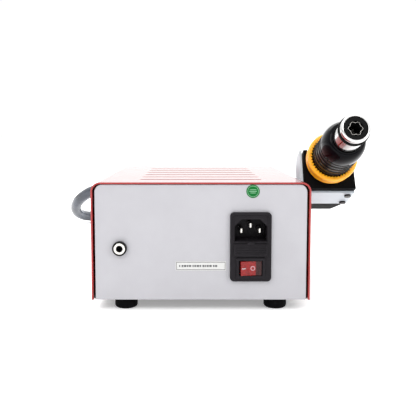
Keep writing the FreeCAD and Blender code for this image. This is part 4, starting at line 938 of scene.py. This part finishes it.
def make_key_marks():
    """One, two or three square dots on each key."""
    pitch, half_dot = 2.2 * MM, 0.5 * MM
    for number in (1, 2, 3):
        low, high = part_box(f"preset_key_{number}")
        centre = Vector(((low.x + high.x) / 2, (low.z + high.z) / 2))
        dots = []
        for step in range(number):
            x = (step - (number - 1) / 2) * pitch
            start, end = (centre + Vector((x + side, 0)) for side in (-half_dot, half_dot))
            dots.append(flat_strip(f"dot_{step}", start, end, 2 * half_dot, low.y, 0.03 * MM))
        add(f"key_{number}", join(f"key_{number}_mark", dots), MATERIALS["print_ink"])


make_display()
make_knob("temperature_knob", "temperature_dial")
make_knob("airflow_knob", "airflow_dial")
make_key_marks()


# ---------------------------------------------------------------- air hose

# The control points of the hose's middle line, in mm, from the gland to the handpiece's boot.
HOSE_ROUTE = [
    (60, -124, 63), (60, -164, 63), (83.5, -206.6, 64.5), (132.6, -231.5, 61.3), (163, -256.5, 43),
    (174.5, -295, 21), (161.5, -335, 7.3), (119.7, -383, 7.3), (63.9, -406.5, 7.3), (8, -430, 7.3),
    (-54, -420, 7.3), (-97, -384, 7.3), (-118, -334, 7.3), (-116.2, -272.1, 22.7), (-114.4, -210.3, 38.1),
    (-113, -148.6, 53.13), (-113, -110.73, 65.87),
]
HOSE_RADIUS = 7.0 * MM


def hose_line():
    """The middle line: one smooth open spline that starts and ends where the hose's solid does."""
    data = bpy.data.curves.new("hose_line", "CURVE")
    data.dimensions = "3D"
    data.resolution_u = 24
    spline = data.splines.new("NURBS")
    spline.points.add(len(HOSE_ROUTE) - 1)
    for point, place in zip(spline.points, HOSE_ROUTE):
        point.co = (*[c * MM for c in place], 1)
    spline.order_u = 3
    spline.use_endpoint_u = True
    obj = link(bpy.data.objects.new("hose_line", data))
    line = bpy.data.meshes.new_from_object(obj)
    places = [vert.co.copy() for vert in line.vertices]
    bpy.data.meshes.remove(line)
    bpy.data.objects.remove(obj)
    return places


def tube_along(name, line, radius, sides=40):
    """A tube whose ring frames turn as little as they can along the line."""
    verts, faces = [], []
    tangents = [
        (line[min(i + 1, len(line) - 1)] - line[max(i - 1, 0)]).normalized() for i in range(len(line))
    ]
    side = tangents[0].cross(Vector((0, 0, 1))).normalized()
    for place, tangent in zip(line, tangents):
        side = (side - tangent * side.dot(tangent)).normalized()
        lift = tangent.cross(side)
        for turn in range(sides):
            angle = 2 * math.pi * turn / sides
            verts.append(place + (side * math.cos(angle) + lift * math.sin(angle)) * radius)
    for ring in range(len(line) - 1):
        for turn in range(sides):
            following = (turn + 1) % sides
            faces.append((
                ring * sides + turn, ring * sides + following,
                (ring + 1) * sides + following, (ring + 1) * sides + turn,
            ))
    faces.append(tuple(reversed(range(sides))))
    faces.append(tuple(range((len(line) - 1) * sides, len(line) * sides)))
    return face_outward(mesh_object(name, verts, faces, 60))


middle_line = hose_line()
hose = tube_along("air_hose_tube", middle_line, HOSE_RADIUS)
paint_with(hose, MATERIALS["hose_vinyl"])
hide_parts("air_hose")
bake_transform(hose)


# ---------------------------------------------------------------- stage and light

BENCH_REACH = 8.0
# The sky's strength for each way: (Y, strength) where its bright side ends, and where its dim side starts.
SKY_BRIGHT, SKY_DIM = (-0.1, 1.23), (0.75, 0.36)
SKY_OVERHEAD = 0.95
BACKDROP = 1.02


def make_stage():
    """The white bench."""
    reach = BENCH_REACH
    corners = [(-reach, -reach, 0), (reach, -reach, 0), (reach, reach, 0), (-reach, reach, 0)]
    floor = mesh_object("bench", corners, [(0, 1, 2, 3)])
    paint_with(floor, floor_paint())


def area_light(name, place, aim, size, energy):
    data = bpy.data.lights.new(name, "AREA")
    data.shape = "RECTANGLE"
    data.size, data.size_y = size
    data.energy = energy
    obj = link(bpy.data.objects.new(name, data))
    obj.location = place
    obj.rotation_euler = (Vector(aim) - Vector(place)).to_track_quat("-Z", "Y").to_euler()


def make_world():
    """A white backdrop for the camera, and light that is strong overhead and weak towards +Y.

    The weak side keeps dark gloss dark on the case's back.
    """
    world = bpy.data.worlds.new("studio")
    bpy.context.scene.world = world
    world.use_nodes = True
    tree = world.node_tree
    background = tree.nodes["Background"]
    background.inputs["Color"].default_value = (1.0, 1.0, 1.0, 1)
    way = tree.nodes.new("ShaderNodeSeparateXYZ")
    tree.links.new(tree.nodes.new("ShaderNodeTexCoord").outputs["Generated"], way.inputs["Vector"])
    level = tree.nodes.new("ShaderNodeMapRange")
    tree.links.new(way.outputs["Y"], level.inputs["Value"])
    ramp = zip(("From Min", "To Min", "From Max", "To Max"), (*SKY_BRIGHT, *SKY_DIM))
    for name, number in ramp:
        level.inputs[name].default_value = number
    above = tree.nodes.new("ShaderNodeMath")
    above.operation = "MAXIMUM"
    tree.links.new(way.outputs["Z"], above.inputs[0])
    above.inputs[1].default_value = 0.0
    total = tree.nodes.new("ShaderNodeMath")
    total.operation = "MULTIPLY_ADD"
    tree.links.new(above.outputs[0], total.inputs[0])
    total.inputs[1].default_value = SKY_OVERHEAD
    tree.links.new(level.outputs["Result"], total.inputs[2])
    seen = tree.nodes.new("ShaderNodeMix")
    tree.links.new(tree.nodes.new("ShaderNodeLightPath").outputs["Is Camera Ray"], seen.inputs["Factor"])
    tree.links.new(total.outputs[0], seen.inputs["A"])
    seen.inputs["B"].default_value = BACKDROP
    tree.links.new(seen.outputs["Result"], background.inputs["Strength"])


make_stage()
make_world()
area_light("key", (0.5, 1.1, 1.0), (0, 0, 0.06), (0.8, 0.6), 9)
area_light("fill", (-1.0, 0.9, 0.5), (0, 0, 0.06), (0.5, 0.7), 4)
area_light("back", (0.2, -1.0, 1.2), (0, -0.1, 0.05), (1.2, 0.6), 6)
bpy.context.scene.view_settings.view_transform = "Standard"
